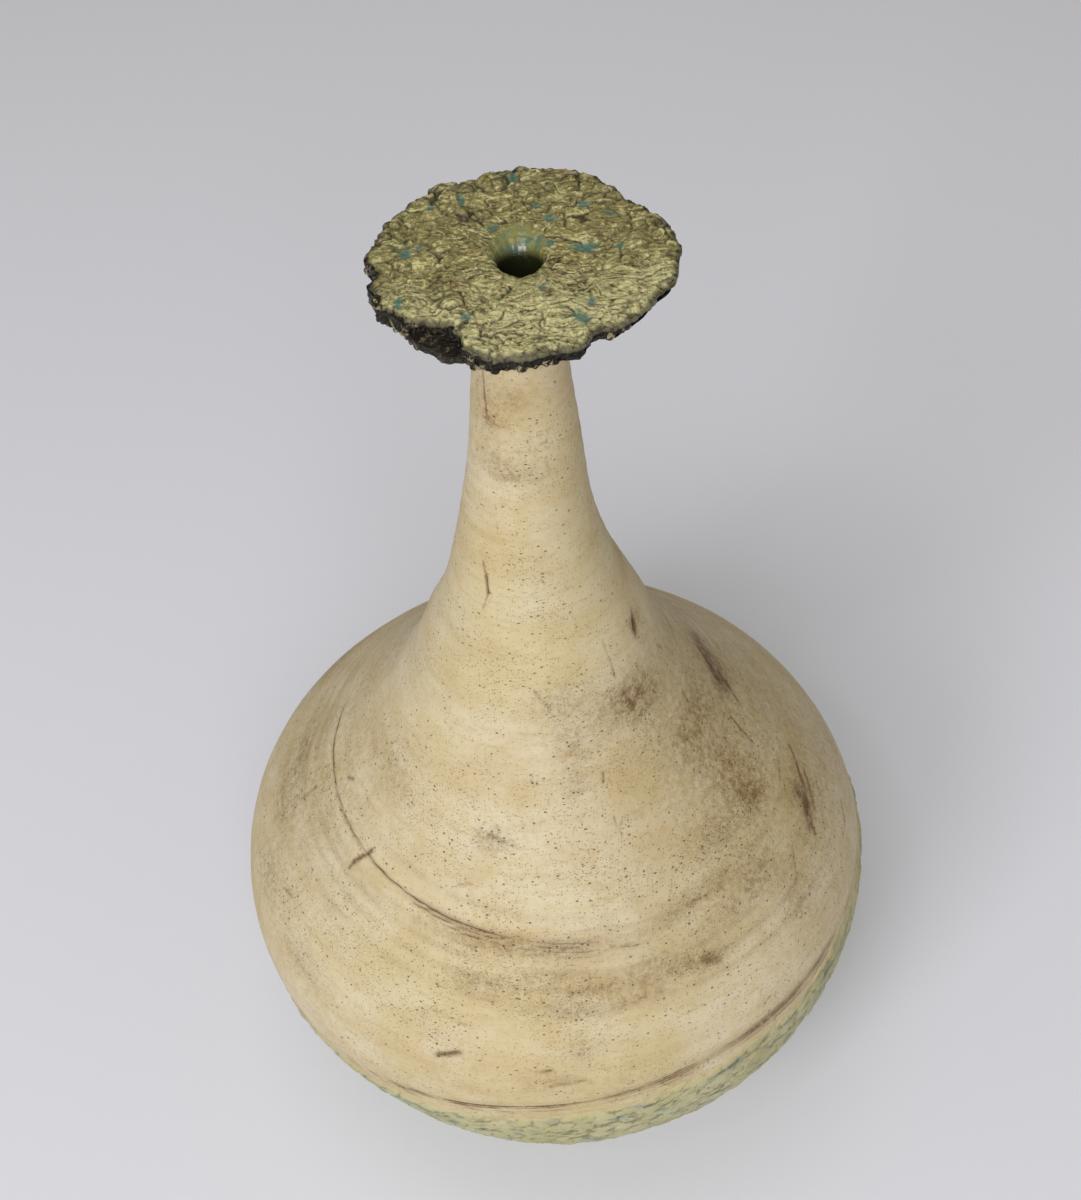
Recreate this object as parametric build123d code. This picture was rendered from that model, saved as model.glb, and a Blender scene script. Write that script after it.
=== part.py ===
from build123d import *
import math
import os

# A bottle flask with a globular body, a long neck and a torn slab disc for a mouth.
# It is put together as a potter does it: two thrown halves, a thrown neck, a slab disc and
# a foot ring, each luted to the next with a ring of slip, and then coated.
# Millimetres, +Z up, origin at the middle of the foot where it meets the table.

# Foot ring and the flat underside of the bowl
BASE_RADIUS = 50.0
FOOT_MARGIN = 4.0
FOOT_RING_WIDTH = 9.0
FOOT_RING_HEIGHT = 5.0
FOOT_RING_FLARE = 1.5
FOOT_EDGE_ROUND = 1.0
FLOOR_THICKNESS = 8.0

# Stations of the thrown wall: radius, rise and lean from the vertical, inwards positive
BASE_LEAN = -64.0
BELLY_RADIUS = 88.5
BELLY_RISE = 32.0
BELLY_LEAN = -33.0
BODY_RADIUS = 109.0
BOWL_HEIGHT = 88.0
SHOULDER_RADIUS = 90.0
SHOULDER_RISE = 44.0
SHOULDER_LEAN = 38.0
NECK_FOOT_RADIUS = 46.4
DOME_HEIGHT = 94.0
NECK_FOOT_LEAN = 32.0
WAIST_RADIUS = 19.6
WAIST_RISE = 75.0
WAIST_LEAN = 10.5
NECK_TOP_RADIUS = 11.5
NECK_LENGTH = 158.0
RIM_OFFSET = 2.5
NECK_BEND = 3
NECK_SECTIONS = 8

# Walls, luted joints and the bore
BODY_WALL = 5.5
WAIST_WALL = 6.0
SLIP = 1.0
RIM_SLIP = 0.5
LIP_BEVEL = 3.0
SPIGOT_LENGTH = 2.5
THROAT_RADIUS = 6.0
THROAT_LENGTH = 14.0
LINING = 0.6

# Torn slab disc, its coats and its chipped place
DISC_RADIUS = 40.0
DISC_THICKNESS = 6.5
DISC_EDGE_THICKNESS = 4.2
DISC_COLLAR_RADIUS = 17.0
DISC_CONE_RADIUS = 36.0
TEAR_SLANT = 1.2
TEAR_WAVES = (
    (2, 0.5, -0.7),
    (3, 0.5, 0.6),
    (4, 0.9, 0.55),
    (5, 0.3, 1.6),
    (6, 0.35, -0.55),
    (13, 0.45, 4.0),
    (21, 0.3, 0.7),
)
TEAR_NOTCHES = ((183.0, 3.0, 4.0), (107.0, 1.8, 5.0), (36.0, 1.8, 5.0), (299.0, 1.6, 4.0))
TEAR_POINTS = 96
GLAZE = 1.2
GLAZE_MARGIN = 1.0
EDGE_GLAZE = 0.5
FUNNEL_RADIUS = 11.0
FUNNEL_DEPTH = 4.5
FUNNEL_LEAN = -62.0
CHIP_ANGLE = 252.0
CHIP_LENGTH = 15.0
CHIP_SHIFT = -14.5
CHIP_DEPTH = 6.5
CHIP_DROP = 2.6
CHIP_CORNER = 2.0

# Rough coat over the lower body, ending in a sloping edge just above the widest level
CRUST = 1.2
CRUST_EDGE_RISE = 1.0
CRUST_EDGE_TILT = 6.8

# Levels, from the table up
BASE_Z = FOOT_RING_HEIGHT + SLIP
FLOOR_Z = BASE_Z + FLOOR_THICKNESS
WIDEST_Z = BASE_Z + BOWL_HEIGHT
DOME_Z = WIDEST_Z + SLIP
SEAT_Z = DOME_Z + DOME_HEIGHT
NECK_Z = SEAT_Z + SLIP
NECK_TOP_Z = NECK_Z + NECK_LENGTH
DISC_UNDER_Z = NECK_TOP_Z - SPIGOT_LENGTH
DISC_TOP_Z = DISC_UNDER_Z + DISC_THICKNESS
DISC_EDGE_Z = DISC_TOP_Z - DISC_EDGE_THICKNESS
GLAZE_TOP_Z = DISC_TOP_Z + GLAZE
FUNNEL_Z = GLAZE_TOP_Z - FUNNEL_DEPTH
LINING_END_Z = FUNNEL_Z - THROAT_LENGTH

# Radii and slopes that two pieces share
FOOT_RING_RADIUS = BASE_RADIUS - FOOT_MARGIN
BORE_RADIUS = THROAT_RADIUS + LINING
SOCKET_RADIUS = NECK_TOP_RADIUS + RIM_SLIP
SEAT_WIDTH = BODY_WALL / math.cos(math.radians(NECK_FOOT_LEAN))
NECK_START_RADIUS = NECK_FOOT_RADIUS - SLIP * math.tan(math.radians(NECK_FOOT_LEAN))
STRAIGHT_BORE_Z = LINING_END_Z - LINING
ON_RIM = Pos(RIM_OFFSET, 0, 0)


def station(radius, height, lean, offset=0.0):
    """A point of the half section and its upward tangent, moved out along the wall's normal."""
    angle = math.radians(lean)
    point = (radius + offset * math.cos(angle), height + offset * math.sin(angle))
    return point, (-math.sin(angle), math.cos(angle))


def wall_curve(*stations):
    """A smooth half-section curve through stations, tangent to each one's lean."""
    points = [(radius, 0, height) for (radius, height), _ in stations]
    tangents = [(outward, 0, upward) for _, (outward, upward) in stations]
    return Spline(*points, tangents=tangents)


def path(*points):
    """Straight half-section lines through radius and height pairs."""
    return Polyline(*[(radius, 0, height) for radius, height in points])


def spun(*edges):
    """The solid that a closed half section makes when it turns once about the axis."""
    return revolve(make_face(edges), axis=Axis.Z)


def upright(radius, bottom, top):
    """A cylinder about the axis between two levels."""
    return Pos(0, 0, bottom) * Cylinder(radius, top - bottom, align=(Align.CENTER, Align.CENTER, Align.MIN))


def bowl_outer(offset=0.0):
    return wall_curve(
        station(BASE_RADIUS, BASE_Z, BASE_LEAN, offset),
        station(BELLY_RADIUS, BASE_Z + BELLY_RISE, BELLY_LEAN, offset),
        station(BODY_RADIUS, WIDEST_Z, 0, offset),
    )


def dome_outer(offset=0.0):
    return wall_curve(
        station(BODY_RADIUS, DOME_Z, 0, offset),
        station(SHOULDER_RADIUS, DOME_Z + SHOULDER_RISE, SHOULDER_LEAN, offset),
        station(NECK_FOOT_RADIUS, SEAT_Z, NECK_FOOT_LEAN, offset),
    )


def foot_ring():
    inner = FOOT_RING_RADIUS - FOOT_RING_WIDTH
    section = make_face(path(
        (inner, 0),
        (FOOT_RING_RADIUS - FOOT_RING_FLARE, 0),
        (FOOT_RING_RADIUS, FOOT_RING_HEIGHT),
        (inner, FOOT_RING_HEIGHT),
        (inner, 0),
    ))
    ring = revolve(section, axis=Axis.Z)
    lower_edges = ring.edges().filter_by(GeomType.CIRCLE).group_by(Axis.Z)[0]
    return fillet(lower_edges, FOOT_EDGE_ROUND)


def foot_slip():
    """Slip between the foot ring and the underside of the bowl."""
    inner = FOOT_RING_RADIUS - FOOT_RING_WIDTH
    return spun(path(
        (inner, FOOT_RING_HEIGHT),
        (FOOT_RING_RADIUS, FOOT_RING_HEIGHT),
        (FOOT_RING_RADIUS, BASE_Z),
        (inner, BASE_Z),
        (inner, FOOT_RING_HEIGHT),
    ))


def base_bowl():
    lip = (BODY_RADIUS - BODY_WALL, WIDEST_Z - LIP_BEVEL)
    floor_edge = (BASE_RADIUS - BODY_WALL, FLOOR_Z)
    inside = wall_curve(
        station(*floor_edge, BASE_LEAN),
        station(BELLY_RADIUS, BASE_Z + BELLY_RISE, BELLY_LEAN, -BODY_WALL),
        station(*lip, 0),
    )
    return spun(
        path(floor_edge, (0, FLOOR_Z), (0, BASE_Z), (BASE_RADIUS, BASE_Z)),
        bowl_outer(),
        path((BODY_RADIUS, WIDEST_Z), lip),
        inside,
    )


def body_slip():
    """Slip in the bevelled joint between the two halves of the body."""
    inner = BODY_RADIUS - BODY_WALL
    return spun(path(
        (BODY_RADIUS, WIDEST_Z),
        (BODY_RADIUS, DOME_Z),
        (inner, DOME_Z - LIP_BEVEL),
        (inner, WIDEST_Z - LIP_BEVEL),
        (BODY_RADIUS, WIDEST_Z),
    ))


def shoulder_dome():
    lip = (BODY_RADIUS - BODY_WALL, DOME_Z - LIP_BEVEL)
    seat = (NECK_FOOT_RADIUS - SEAT_WIDTH, SEAT_Z)
    inside = wall_curve(
        station(*lip, 0),
        station(SHOULDER_RADIUS, DOME_Z + SHOULDER_RISE, SHOULDER_LEAN, -BODY_WALL),
        station(*seat, NECK_FOOT_LEAN),
    )
    return spun(
        path(lip, (BODY_RADIUS, DOME_Z)),
        dome_outer(),
        path((NECK_FOOT_RADIUS, SEAT_Z), seat),
        inside,
    )


def neck_slip():
    """Slip between the dome's seat and the foot of the neck."""
    return spun(path(
        (NECK_FOOT_RADIUS - SEAT_WIDTH, SEAT_Z),
        (NECK_FOOT_RADIUS, SEAT_Z),
        (NECK_START_RADIUS, NECK_Z),
        (NECK_START_RADIUS - SEAT_WIDTH, NECK_Z),
        (NECK_FOOT_RADIUS - SEAT_WIDTH, SEAT_Z),
    ))


def leaning(curve):
    """The solid inside a half-section curve, bent sideways until its top is over the rim's middle."""
    sections = []
    for step in range(NECK_SECTIONS + 1):
        share = step / NECK_SECTIONS
        spot = curve @ share
        sections.append(Pos(RIM_OFFSET * share**NECK_BEND, 0, spot.Z) * Circle(spot.X))
    return loft(sections)


def neck():
    outside = leaning(wall_curve(
        station(NECK_START_RADIUS, NECK_Z, NECK_FOOT_LEAN),
        station(WAIST_RADIUS, NECK_Z + WAIST_RISE, WAIST_LEAN),
        station(NECK_TOP_RADIUS, DISC_UNDER_Z, 0),
    ))
    inside = leaning(wall_curve(
        station(NECK_START_RADIUS - SEAT_WIDTH, NECK_Z, NECK_FOOT_LEAN),
        station(WAIST_RADIUS, NECK_Z + WAIST_RISE, WAIST_LEAN, -WAIST_WALL),
        station(BORE_RADIUS, STRAIGHT_BORE_Z, 0),
    ))
    spigot = upright(NECK_TOP_RADIUS, DISC_UNDER_Z, NECK_TOP_Z)
    bore = upright(BORE_RADIUS, STRAIGHT_BORE_Z, NECK_TOP_Z)
    return outside + ON_RIM * spigot - inside - ON_RIM * bore


def rim_slip():
    """Slip that fills the disc's socket over the neck's spigot."""
    return ON_RIM * spun(path(
        (NECK_TOP_RADIUS, DISC_UNDER_Z),
        (SOCKET_RADIUS, DISC_UNDER_Z),
        (SOCKET_RADIUS, NECK_TOP_Z + RIM_SLIP),
        (BORE_RADIUS, NECK_TOP_Z + RIM_SLIP),
        (BORE_RADIUS, NECK_TOP_Z),
        (NECK_TOP_RADIUS, NECK_TOP_Z),
        (NECK_TOP_RADIUS, DISC_UNDER_Z),
    ))


def tear(degrees):
    """How far the ragged edge stands out from a circle in one direction."""
    turn = math.radians(degrees)
    waves = sum(size * math.cos(count * turn + start) for count, size, start in TEAR_WAVES)
    notches = 0.0
    for middle, depth, spread in TEAR_NOTCHES:
        away = (degrees - middle + 180) % 360 - 180
        notches += depth * math.exp(-((away / spread) ** 2))
    return waves - notches


def torn_outline(radius, height):
    """The face inside the disc's ragged outline at a level."""
    points = []
    for step in range(TEAR_POINTS):
        degrees = 360 * step / TEAR_POINTS
        reach = radius + tear(degrees)
        turn = math.radians(degrees)
        points.append((reach * math.cos(turn), reach * math.sin(turn), height))
    return make_face(Spline(*points, periodic=True))


def torn_slab(grown=0.0):
    """The slab between its lower and upper outlines, grown sideways for a coat."""
    lower = torn_outline(DISC_RADIUS - TEAR_SLANT + grown, DISC_EDGE_Z)
    upper = torn_outline(DISC_RADIUS + grown, DISC_TOP_Z)
    return loft([lower, upper], ruled=True)


def funnel_curve(throat, height):
    """The rounded lip of the mouth, from the throat's wall out to the top face at a height."""
    flare = FUNNEL_RADIUS - THROAT_RADIUS
    return wall_curve(
        station(throat, FUNNEL_Z, 0),
        station(throat + flare, height, FUNNEL_LEAN),
    )


def mouth_hole(throat, height):
    """What the mouth takes out of a piece whose top face is at a height."""
    top = throat + FUNNEL_RADIUS - THROAT_RADIUS
    return spun(
        funnel_curve(throat, height),
        path(
            (top, height),
            (top, GLAZE_TOP_Z + GLAZE),
            (0, GLAZE_TOP_Z + GLAZE),
            (0, LINING_END_Z),
            (throat, LINING_END_Z),
            (throat, FUNNEL_Z),
        ),
    )


def chip():
    """A bite out of the upper edge, where the slab broke and shows its dark inside."""
    bite = Box(2 * CHIP_DEPTH, CHIP_LENGTH, 2 * CHIP_DROP)
    bite = fillet(bite.edges().filter_by(Axis.Z), CHIP_CORNER)
    return Rot(Z=CHIP_ANGLE) * Pos(DISC_RADIUS, CHIP_SHIFT, DISC_TOP_Z) * bite


def rim_disc():
    underside = spun(path(
        (0, DISC_UNDER_Z),
        (DISC_COLLAR_RADIUS, DISC_UNDER_Z),
        (DISC_CONE_RADIUS, DISC_EDGE_Z),
        (0, DISC_EDGE_Z),
        (0, DISC_UNDER_Z),
    ))
    socket = upright(SOCKET_RADIUS, DISC_UNDER_Z, NECK_TOP_Z + RIM_SLIP)
    slab = torn_slab() + underside - socket - mouth_hole(BORE_RADIUS, DISC_TOP_Z) - chip()
    return ON_RIM * slab


def rim_glaze():
    """The crackled coat on the disc, which runs over the lip and lines the throat."""
    coat = extrude(torn_outline(DISC_RADIUS - GLAZE_MARGIN, DISC_TOP_Z), GLAZE)
    lining = mouth_hole(BORE_RADIUS, DISC_TOP_Z) - upright(DISC_RADIUS, GLAZE_TOP_Z, GLAZE_TOP_Z + GLAZE)
    return ON_RIM * (coat + lining - mouth_hole(THROAT_RADIUS, GLAZE_TOP_Z) - chip())


def edge_glaze():
    """The dark coat round the torn edge of the disc."""
    return ON_RIM * (torn_slab(EDGE_GLAZE) - torn_slab() - chip())


def base_crust():
    """The rough coat of the lower body, cut off along its sloping upper edge."""
    low_out, _ = station(BASE_RADIUS, BASE_Z, BASE_LEAN, CRUST)
    top_out, _ = station(NECK_FOOT_RADIUS, SEAT_Z, NECK_FOOT_LEAN, CRUST)
    coat = spun(
        path(low_out, (BASE_RADIUS, BASE_Z)),
        bowl_outer(),
        path((BODY_RADIUS, WIDEST_Z), (BODY_RADIUS, DOME_Z)),
        dome_outer(),
        path((NECK_FOOT_RADIUS, SEAT_Z), top_out),
        dome_outer(CRUST),
        path((BODY_RADIUS + CRUST, DOME_Z), (BODY_RADIUS + CRUST, WIDEST_Z)),
        bowl_outer(CRUST),
    )
    edge_plane = Plane.XY.offset(WIDEST_Z + CRUST_EDGE_RISE).rotated((0, -CRUST_EDGE_TILT, 0))
    return split(coat, bisect_by=edge_plane, keep=Keep.BOTTOM)


PIECES = {
    "foot_ring": foot_ring,
    "foot_slip": foot_slip,
    "base_bowl": base_bowl,
    "body_slip": body_slip,
    "shoulder_dome": shoulder_dome,
    "neck_slip": neck_slip,
    "neck": neck,
    "rim_slip": rim_slip,
    "rim_disc": rim_disc,
    "rim_glaze": rim_glaze,
    "edge_glaze": edge_glaze,
    "base_crust": base_crust,
}

os.makedirs("parts", exist_ok=True)
for name, make in PIECES.items():
    piece = make()
    export_step(piece, f"parts/{name}.step")
    print(name, round(piece.volume / 1000, 2), "cm3", piece.bounding_box().size)
print("height", round(GLAZE_TOP_Z, 1), "mouth bore", 2 * THROAT_RADIUS)
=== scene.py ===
# %% [markdown]
# # A bottle flask with a torn disc for a mouth
# The flask is thrown stoneware: a bare cream body and neck, a torn slab disc on top that
# carries a crackled olive glaze, and a rough pale green coat on the lower body.
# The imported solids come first, as a frame that nothing here moves or resizes.
# Every mesh below takes its size from that frame and adds what a hand and a kiln add.

# %% Load the frame
import math

import bmesh
import bpy
import numpy as np
from mathutils import Matrix, Vector, noise
from mathutils.bvhtree import BVHTree


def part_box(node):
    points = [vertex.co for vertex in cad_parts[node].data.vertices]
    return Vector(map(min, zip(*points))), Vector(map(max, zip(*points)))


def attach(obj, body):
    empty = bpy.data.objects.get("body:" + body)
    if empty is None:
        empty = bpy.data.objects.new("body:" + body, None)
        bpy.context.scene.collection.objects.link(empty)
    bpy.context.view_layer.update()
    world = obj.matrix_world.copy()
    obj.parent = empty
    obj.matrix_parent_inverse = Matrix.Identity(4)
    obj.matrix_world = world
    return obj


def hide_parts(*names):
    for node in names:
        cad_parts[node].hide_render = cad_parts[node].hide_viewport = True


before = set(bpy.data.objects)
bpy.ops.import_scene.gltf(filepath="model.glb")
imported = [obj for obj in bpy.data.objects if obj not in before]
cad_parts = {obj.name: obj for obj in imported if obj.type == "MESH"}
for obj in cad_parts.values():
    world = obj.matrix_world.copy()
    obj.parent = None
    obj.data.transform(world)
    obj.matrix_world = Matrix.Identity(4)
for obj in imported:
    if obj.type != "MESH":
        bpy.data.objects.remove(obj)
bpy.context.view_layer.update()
MM = 0.001
print("frame", sorted(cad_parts))

# %% [markdown]
# ## Camera
# The picture was taken from close by and from well above, so the camera looks down by
# about 47 degrees and stands well under a metre away. It is also turned a little about
# its own line of sight, which is why the flask seems to lean. A turn about Z, then a
# tilt, then a roll says all of that, and stays easier to read than a matrix of numbers.

# %% Camera
CAMERA_PLACE = Vector((0.0, -0.3917, 0.6453))
LOOK_DOWN = 47.31
CAMERA_TURN = math.radians(-0.22)
CAMERA_TILT = math.radians(90 - LOOK_DOWN)
CAMERA_ROLL = math.radians(-4.16)
SENSOR_SIDE = 36.0
LENS = 55.5
NEAREST = 0.01

camera_data = bpy.data.cameras.new("camera")
camera_data.sensor_width = SENSOR_SIDE
camera_data.lens = LENS
camera_data.clip_start = NEAREST
camera = bpy.data.objects.new("camera", camera_data)
camera.matrix_world = (
    Matrix.Translation(CAMERA_PLACE)
    @ Matrix.Rotation(CAMERA_TURN, 4, "Z")
    @ Matrix.Rotation(CAMERA_TILT, 4, "X")
    @ Matrix.Rotation(CAMERA_ROLL, 4, "Z")
)
bpy.context.scene.collection.objects.link(camera)
bpy.context.scene.camera = camera
print("camera", tuple(round(c, 3) for c in camera.location))

# %% [markdown]
# ## Light and floor
# Soft studio light: a large panel at the upper left makes the shadow on the right, one in
# front evens out the wall, a weak one fills the right, one overhead lights the disc and
# the floor, a small one puts glints on the glaze, and the pale world keeps the shadows open.
# The floor is one plain pale sheet, and the colours are written so that they show about
# as they are.

# %% Light and floor
PANELS = {
    "key_panel": {"place": (-1.60, -2.20, 2.00), "side": 1.2, "watts": 39.0},
    "front_panel": {"place": (-0.08, -1.95, 2.00), "side": 1.35, "watts": 26.0},
    "fill_panel": {"place": (1.6, -0.8, 1.5), "side": 1.0, "watts": 0.5},
    "top_panel": {"place": (-0.30, -0.05, 2.1), "side": 1.2, "watts": 5.5},
    "glint_panel": {"place": (-0.45, -0.75, 1.5), "side": 0.09, "watts": 0.6},
}
PANEL_COLOUR = (0.985, 1.0, 1.05)
AIM = Vector((0, 0, 0.16))
WORLD_COLOUR = (1.0, 0.945, 0.820, 1)
WORLD_STRENGTH = 0.24
FLOOR_SIDE = 8.0
FLOOR_COLOUR = (0.808, 0.812, 0.862, 1)

scene = bpy.context.scene
scene.view_settings.view_transform = "Standard"
world = bpy.data.worlds.new("studio")
world.use_nodes = True
background = world.node_tree.nodes["Background"]
background.inputs["Color"].default_value = WORLD_COLOUR
background.inputs["Strength"].default_value = WORLD_STRENGTH
scene.world = world

for name, panel in PANELS.items():
    lamp = bpy.data.lights.new(name, "AREA")
    lamp.shape = "SQUARE"
    lamp.size = panel["side"]
    lamp.energy = panel["watts"]
    lamp.color = PANEL_COLOUR
    holder = bpy.data.objects.new(name, lamp)
    holder.location = panel["place"]
    holder.rotation_euler = (AIM - holder.location).to_track_quat("-Z", "Y").to_euler()
    scene.collection.objects.link(holder)

floor_bm = bmesh.new()
bmesh.ops.create_grid(floor_bm, x_segments=1, y_segments=1, size=FLOOR_SIDE / 2)
floor_mesh = bpy.data.meshes.new("floor")
floor_bm.to_mesh(floor_mesh)
floor_bm.free()
floor = bpy.data.objects.new("floor", floor_mesh)
scene.collection.objects.link(floor)
print("panels", list(PANELS))

# %% [markdown]
# ## Reading the thrown wall from the frame
# The body and the neck are round at every height, so one radius per height describes
# them, plus how far the neck leans. Rays shot at the solids from both sides find both.
# Reading the wall this way, and not from a second list of sizes, keeps the looks and the
# solids in step when a size changes.

# %% Read the wall
FAR = 0.4
SMOOTH_SPAN = 9


def tree_of(*nodes):
    """One search tree over the faces of several solids."""
    points, faces = [], []
    for node in nodes:
        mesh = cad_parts[node].data
        start = len(points)
        points += [v.co.copy() for v in mesh.vertices]
        faces += [[start + i for i in p.vertices] for p in mesh.polygons]
    return BVHTree.FromPolygons(points, faces)


def reach(tree, angle, height, centre=0.0):
    """How far the outermost face is from an upright line, in one direction at one height."""
    out = Vector((math.cos(angle), math.sin(angle), 0))
    middle = Vector((centre, 0, height))
    spot = tree.ray_cast(middle + out * FAR, -out)[0]
    return (spot - middle).length


def hollow(tree, height, centre):
    """How far the first face is outwards from inside the flask."""
    middle = Vector((centre, 0, height))
    spot = tree.ray_cast(middle, Vector((1, 0, 0)))[0]
    return (spot - middle).length


def smoothed(values):
    """A running mean that leaves both ends where they are."""
    padded = np.pad(values, SMOOTH_SPAN // 2, mode="reflect", reflect_type="odd")
    weights = np.hanning(SMOOTH_SPAN + 2)[1:-1]
    return np.convolve(padded, weights / weights.sum(), mode="valid")


print("rays start", FAR, "m from the axis")

# %% Measure the wall
THROWN_NODES = ("base_bowl", "body_slip", "shoulder_dome", "neck_slip", "neck")
READ_STEP = 1.0 * MM
READ_EDGE = 0.02 * MM
BOWL_FLOOR = 8.0 * MM
thrown_tree = tree_of(*THROWN_NODES)
base_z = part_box("base_bowl")[0].z
floor_z = base_z + BOWL_FLOOR
widest_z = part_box("base_bowl")[1].z
seat_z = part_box("shoulder_dome")[1].z
neck_top_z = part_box("neck")[1].z
wall_z = np.arange(base_z + READ_EDGE, neck_top_z - READ_EDGE, READ_STEP)
right_reach = np.array([reach(thrown_tree, 0.0, z) for z in wall_z])
left_reach = np.array([reach(thrown_tree, math.pi, z) for z in wall_z])
wall_radius = smoothed((right_reach + left_reach) / 2)
wall_centre = smoothed((right_reach - left_reach) / 2)
wall_slope = np.gradient(wall_radius, wall_z)
wall_length = np.concatenate(([0.0], np.cumsum(np.hypot(np.diff(wall_z), np.diff(wall_radius)))))
hollow_z = wall_z[wall_z > floor_z + MM]
hollow_radius = smoothed(
    np.array([hollow(thrown_tree, z, np.interp(z, wall_z, wall_centre)) for z in hollow_z])
)


def outward(points):
    """The direction square to the wall at each point."""
    height = points[:, 2]
    turn = np.arctan2(points[:, 1], points[:, 0] - np.interp(height, wall_z, wall_centre))
    lean = np.arctan(np.interp(height, wall_z, wall_slope))
    return np.stack([np.cos(lean) * np.cos(turn), np.cos(lean) * np.sin(turn), -np.sin(lean)], axis=1)


print("wall from", round(base_z, 4), "to", round(neck_top_z, 4), "widest", round(wall_radius.max(), 4))

# %% [markdown]
# ## Spinning a section
# A thrown wall is a section turned about an axis, and bmesh has an operator for that.
# Each step of a spin goes over the whole mesh, so hundreds of steps are slow. The spin makes
# 36, the rings are then cut finer, and the new points are pushed out to the true circle.
# Full spins merge their last copy with the first, and points on the axis are merged after.
# A few helpers come first: they read and move all points of a mesh at once.

# %% Points of a mesh
def places(mesh):
    """The places of a mesh's points, one row for each."""
    points = np.empty(len(mesh.vertices) * 3, dtype=np.float32)
    mesh.vertices.foreach_get("co", points)
    return points.reshape(-1, 3).astype(float)


def put(mesh, points):
    """Moves a mesh's points to new places."""
    mesh.vertices.foreach_set("co", points.astype(np.float32).ravel())
    mesh.update()


def facing(mesh):
    """The direction that each point of a mesh faces."""
    directions = np.empty(len(mesh.vertices) * 3, dtype=np.float32)
    mesh.vertex_normals.foreach_get("vector", directions)
    return directions.reshape(-1, 3).astype(float)


def keep_masks(mesh, **masks):
    """Stores numbers for each point, which a material then reads by name."""
    for name, values in masks.items():
        layer = mesh.attributes.new(name, "FLOAT", "POINT")
        layer.data.foreach_set("value", np.asarray(values, dtype=np.float32))


def polar(points):
    """The angle of each point round the axis, and its distance from the axis."""
    return np.arctan2(points[:, 1], points[:, 0]), np.hypot(points[:, 0], points[:, 1])


def from_polar(turn, radius, height, centre=0.0):
    """Points at angles round an upright line, at distances from it and at heights."""
    return np.stack([centre + radius * np.cos(turn), radius * np.sin(turn), height], axis=1)


print("helpers for points ready")

# %% Spin a section
SPIN_STEPS = 36
SAME = 1e-6


def is_ring(edge):
    """True for an edge that runs round the axis."""
    first, second = (vert.co for vert in edge.verts)
    return abs(first.z - second.z) < SAME and abs(first.xy.length - second.xy.length) < SAME


def spun(name, section, cuts):
    """A closed mesh: a section of (radius, height) turned about the axis, its rings cut finer."""
    bm = bmesh.new()
    points = [bm.verts.new((0, radius, height)) for radius, height in section]
    edges = [bm.edges.new(pair) for pair in zip(points, points[1:])]
    if section[0][0] > 0:
        edges.append(bm.edges.new((points[-1], points[0])))
    bmesh.ops.spin(
        bm,
        geom=points + edges,
        cent=(0, 0, 0),
        axis=(0, 0, 1),
        angle=2 * math.pi,
        steps=SPIN_STEPS,
        use_merge=True,
    )
    bmesh.ops.remove_doubles(bm, verts=bm.verts, dist=SAME)
    rings = [edge for edge in bm.edges if is_ring(edge)]
    bmesh.ops.subdivide_edges(bm, edges=rings, cuts=cuts, use_grid_fill=True)
    bmesh.ops.recalc_face_normals(bm, faces=bm.faces)
    mesh = bpy.data.meshes.new(name)
    bm.to_mesh(mesh)
    bm.free()
    points = places(mesh)
    half = math.pi / SPIN_STEPS
    turn = polar(points)[0] % (2 * half)
    points[:, :2] *= (np.cos(turn - half) / math.cos(half))[:, None]
    put(mesh, points)
    return mesh


def finished(mesh, slot, *nodes, corner=180):
    """A shaded object that rides on the flask in place of its nodes; corners past an angle stay sharp."""
    mesh.shade_smooth()
    mesh.set_sharp_from_angle(angle=math.radians(corner))
    piece = bpy.data.objects.new(mesh.name, mesh)
    scene.collection.objects.link(piece)
    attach(piece, "root")
    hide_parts(*nodes)
    print(mesh.name, len(mesh.polygons), "faces for", *nodes)
    return piece


print("spin in", SPIN_STEPS, "steps")

# %% [markdown]
# ## Noise with a real size
# Clay and glaze are never even, and most of that unevenness has a size: lumps of a few
# centimetres, plates of a few millimetres. So noise is read at the points' own places and in
# millimetres. Smooth noise gives lumps and drifts, and a cell pattern gives plates and crumbs.

# %% Noise in millimetres
FIELD_SHIFT = np.array((13.7, 7.1, 3.3))
CELL_SHIFT = np.array((5.3, 11.9, 2.7))
LABEL_SCATTER = 7.31


def scaled(points, size, stretch, shift):
    """Places in units of a size in millimetres, moved so that each seed reads other noise."""
    return (points * (np.array(stretch) / (size * MM)) + shift).tolist()


def field(points, size, seed, stretch=(1, 1, 1)):
    """Smooth noise between -1 and 1, with lumps of about a size in millimetres."""
    return np.array([noise.noise(p) for p in scaled(points, size, stretch, seed * FIELD_SHIFT)])


def summed(points, layers):
    """Layers of smooth noise in one: the size and height of each in millimetres, and its seed."""
    return sum(height * field(points, size, seed) for size, height, seed in layers)


def cells(points, size, seed, stretch=(1, 1, 1)):
    """Distances to the nearest two seeds of a cell pattern, and a number for each cell."""
    near, second, label = [], [], []
    for p in scaled(points, size, stretch, seed * CELL_SHIFT):
        distances, seeds = noise.voronoi(p)
        near.append(distances[0])
        second.append(distances[1])
        label.append(0.5 + 0.5 * noise.cell(seeds[0] * LABEL_SCATTER))
    return np.array(near), np.array(second), np.array(label)


def ramp(values, low, high):
    """0 below low, 1 above high, and a smooth rise between them."""
    share = np.clip((values - low) / (high - low), 0, 1)
    return share * share * (3 - 2 * share)


def dent(distance, width):
    """1 where a distance is 0, falling smoothly to almost 0 at twice a width."""
    return np.exp(-((distance / width) ** 2))


print("noise ready")

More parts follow.
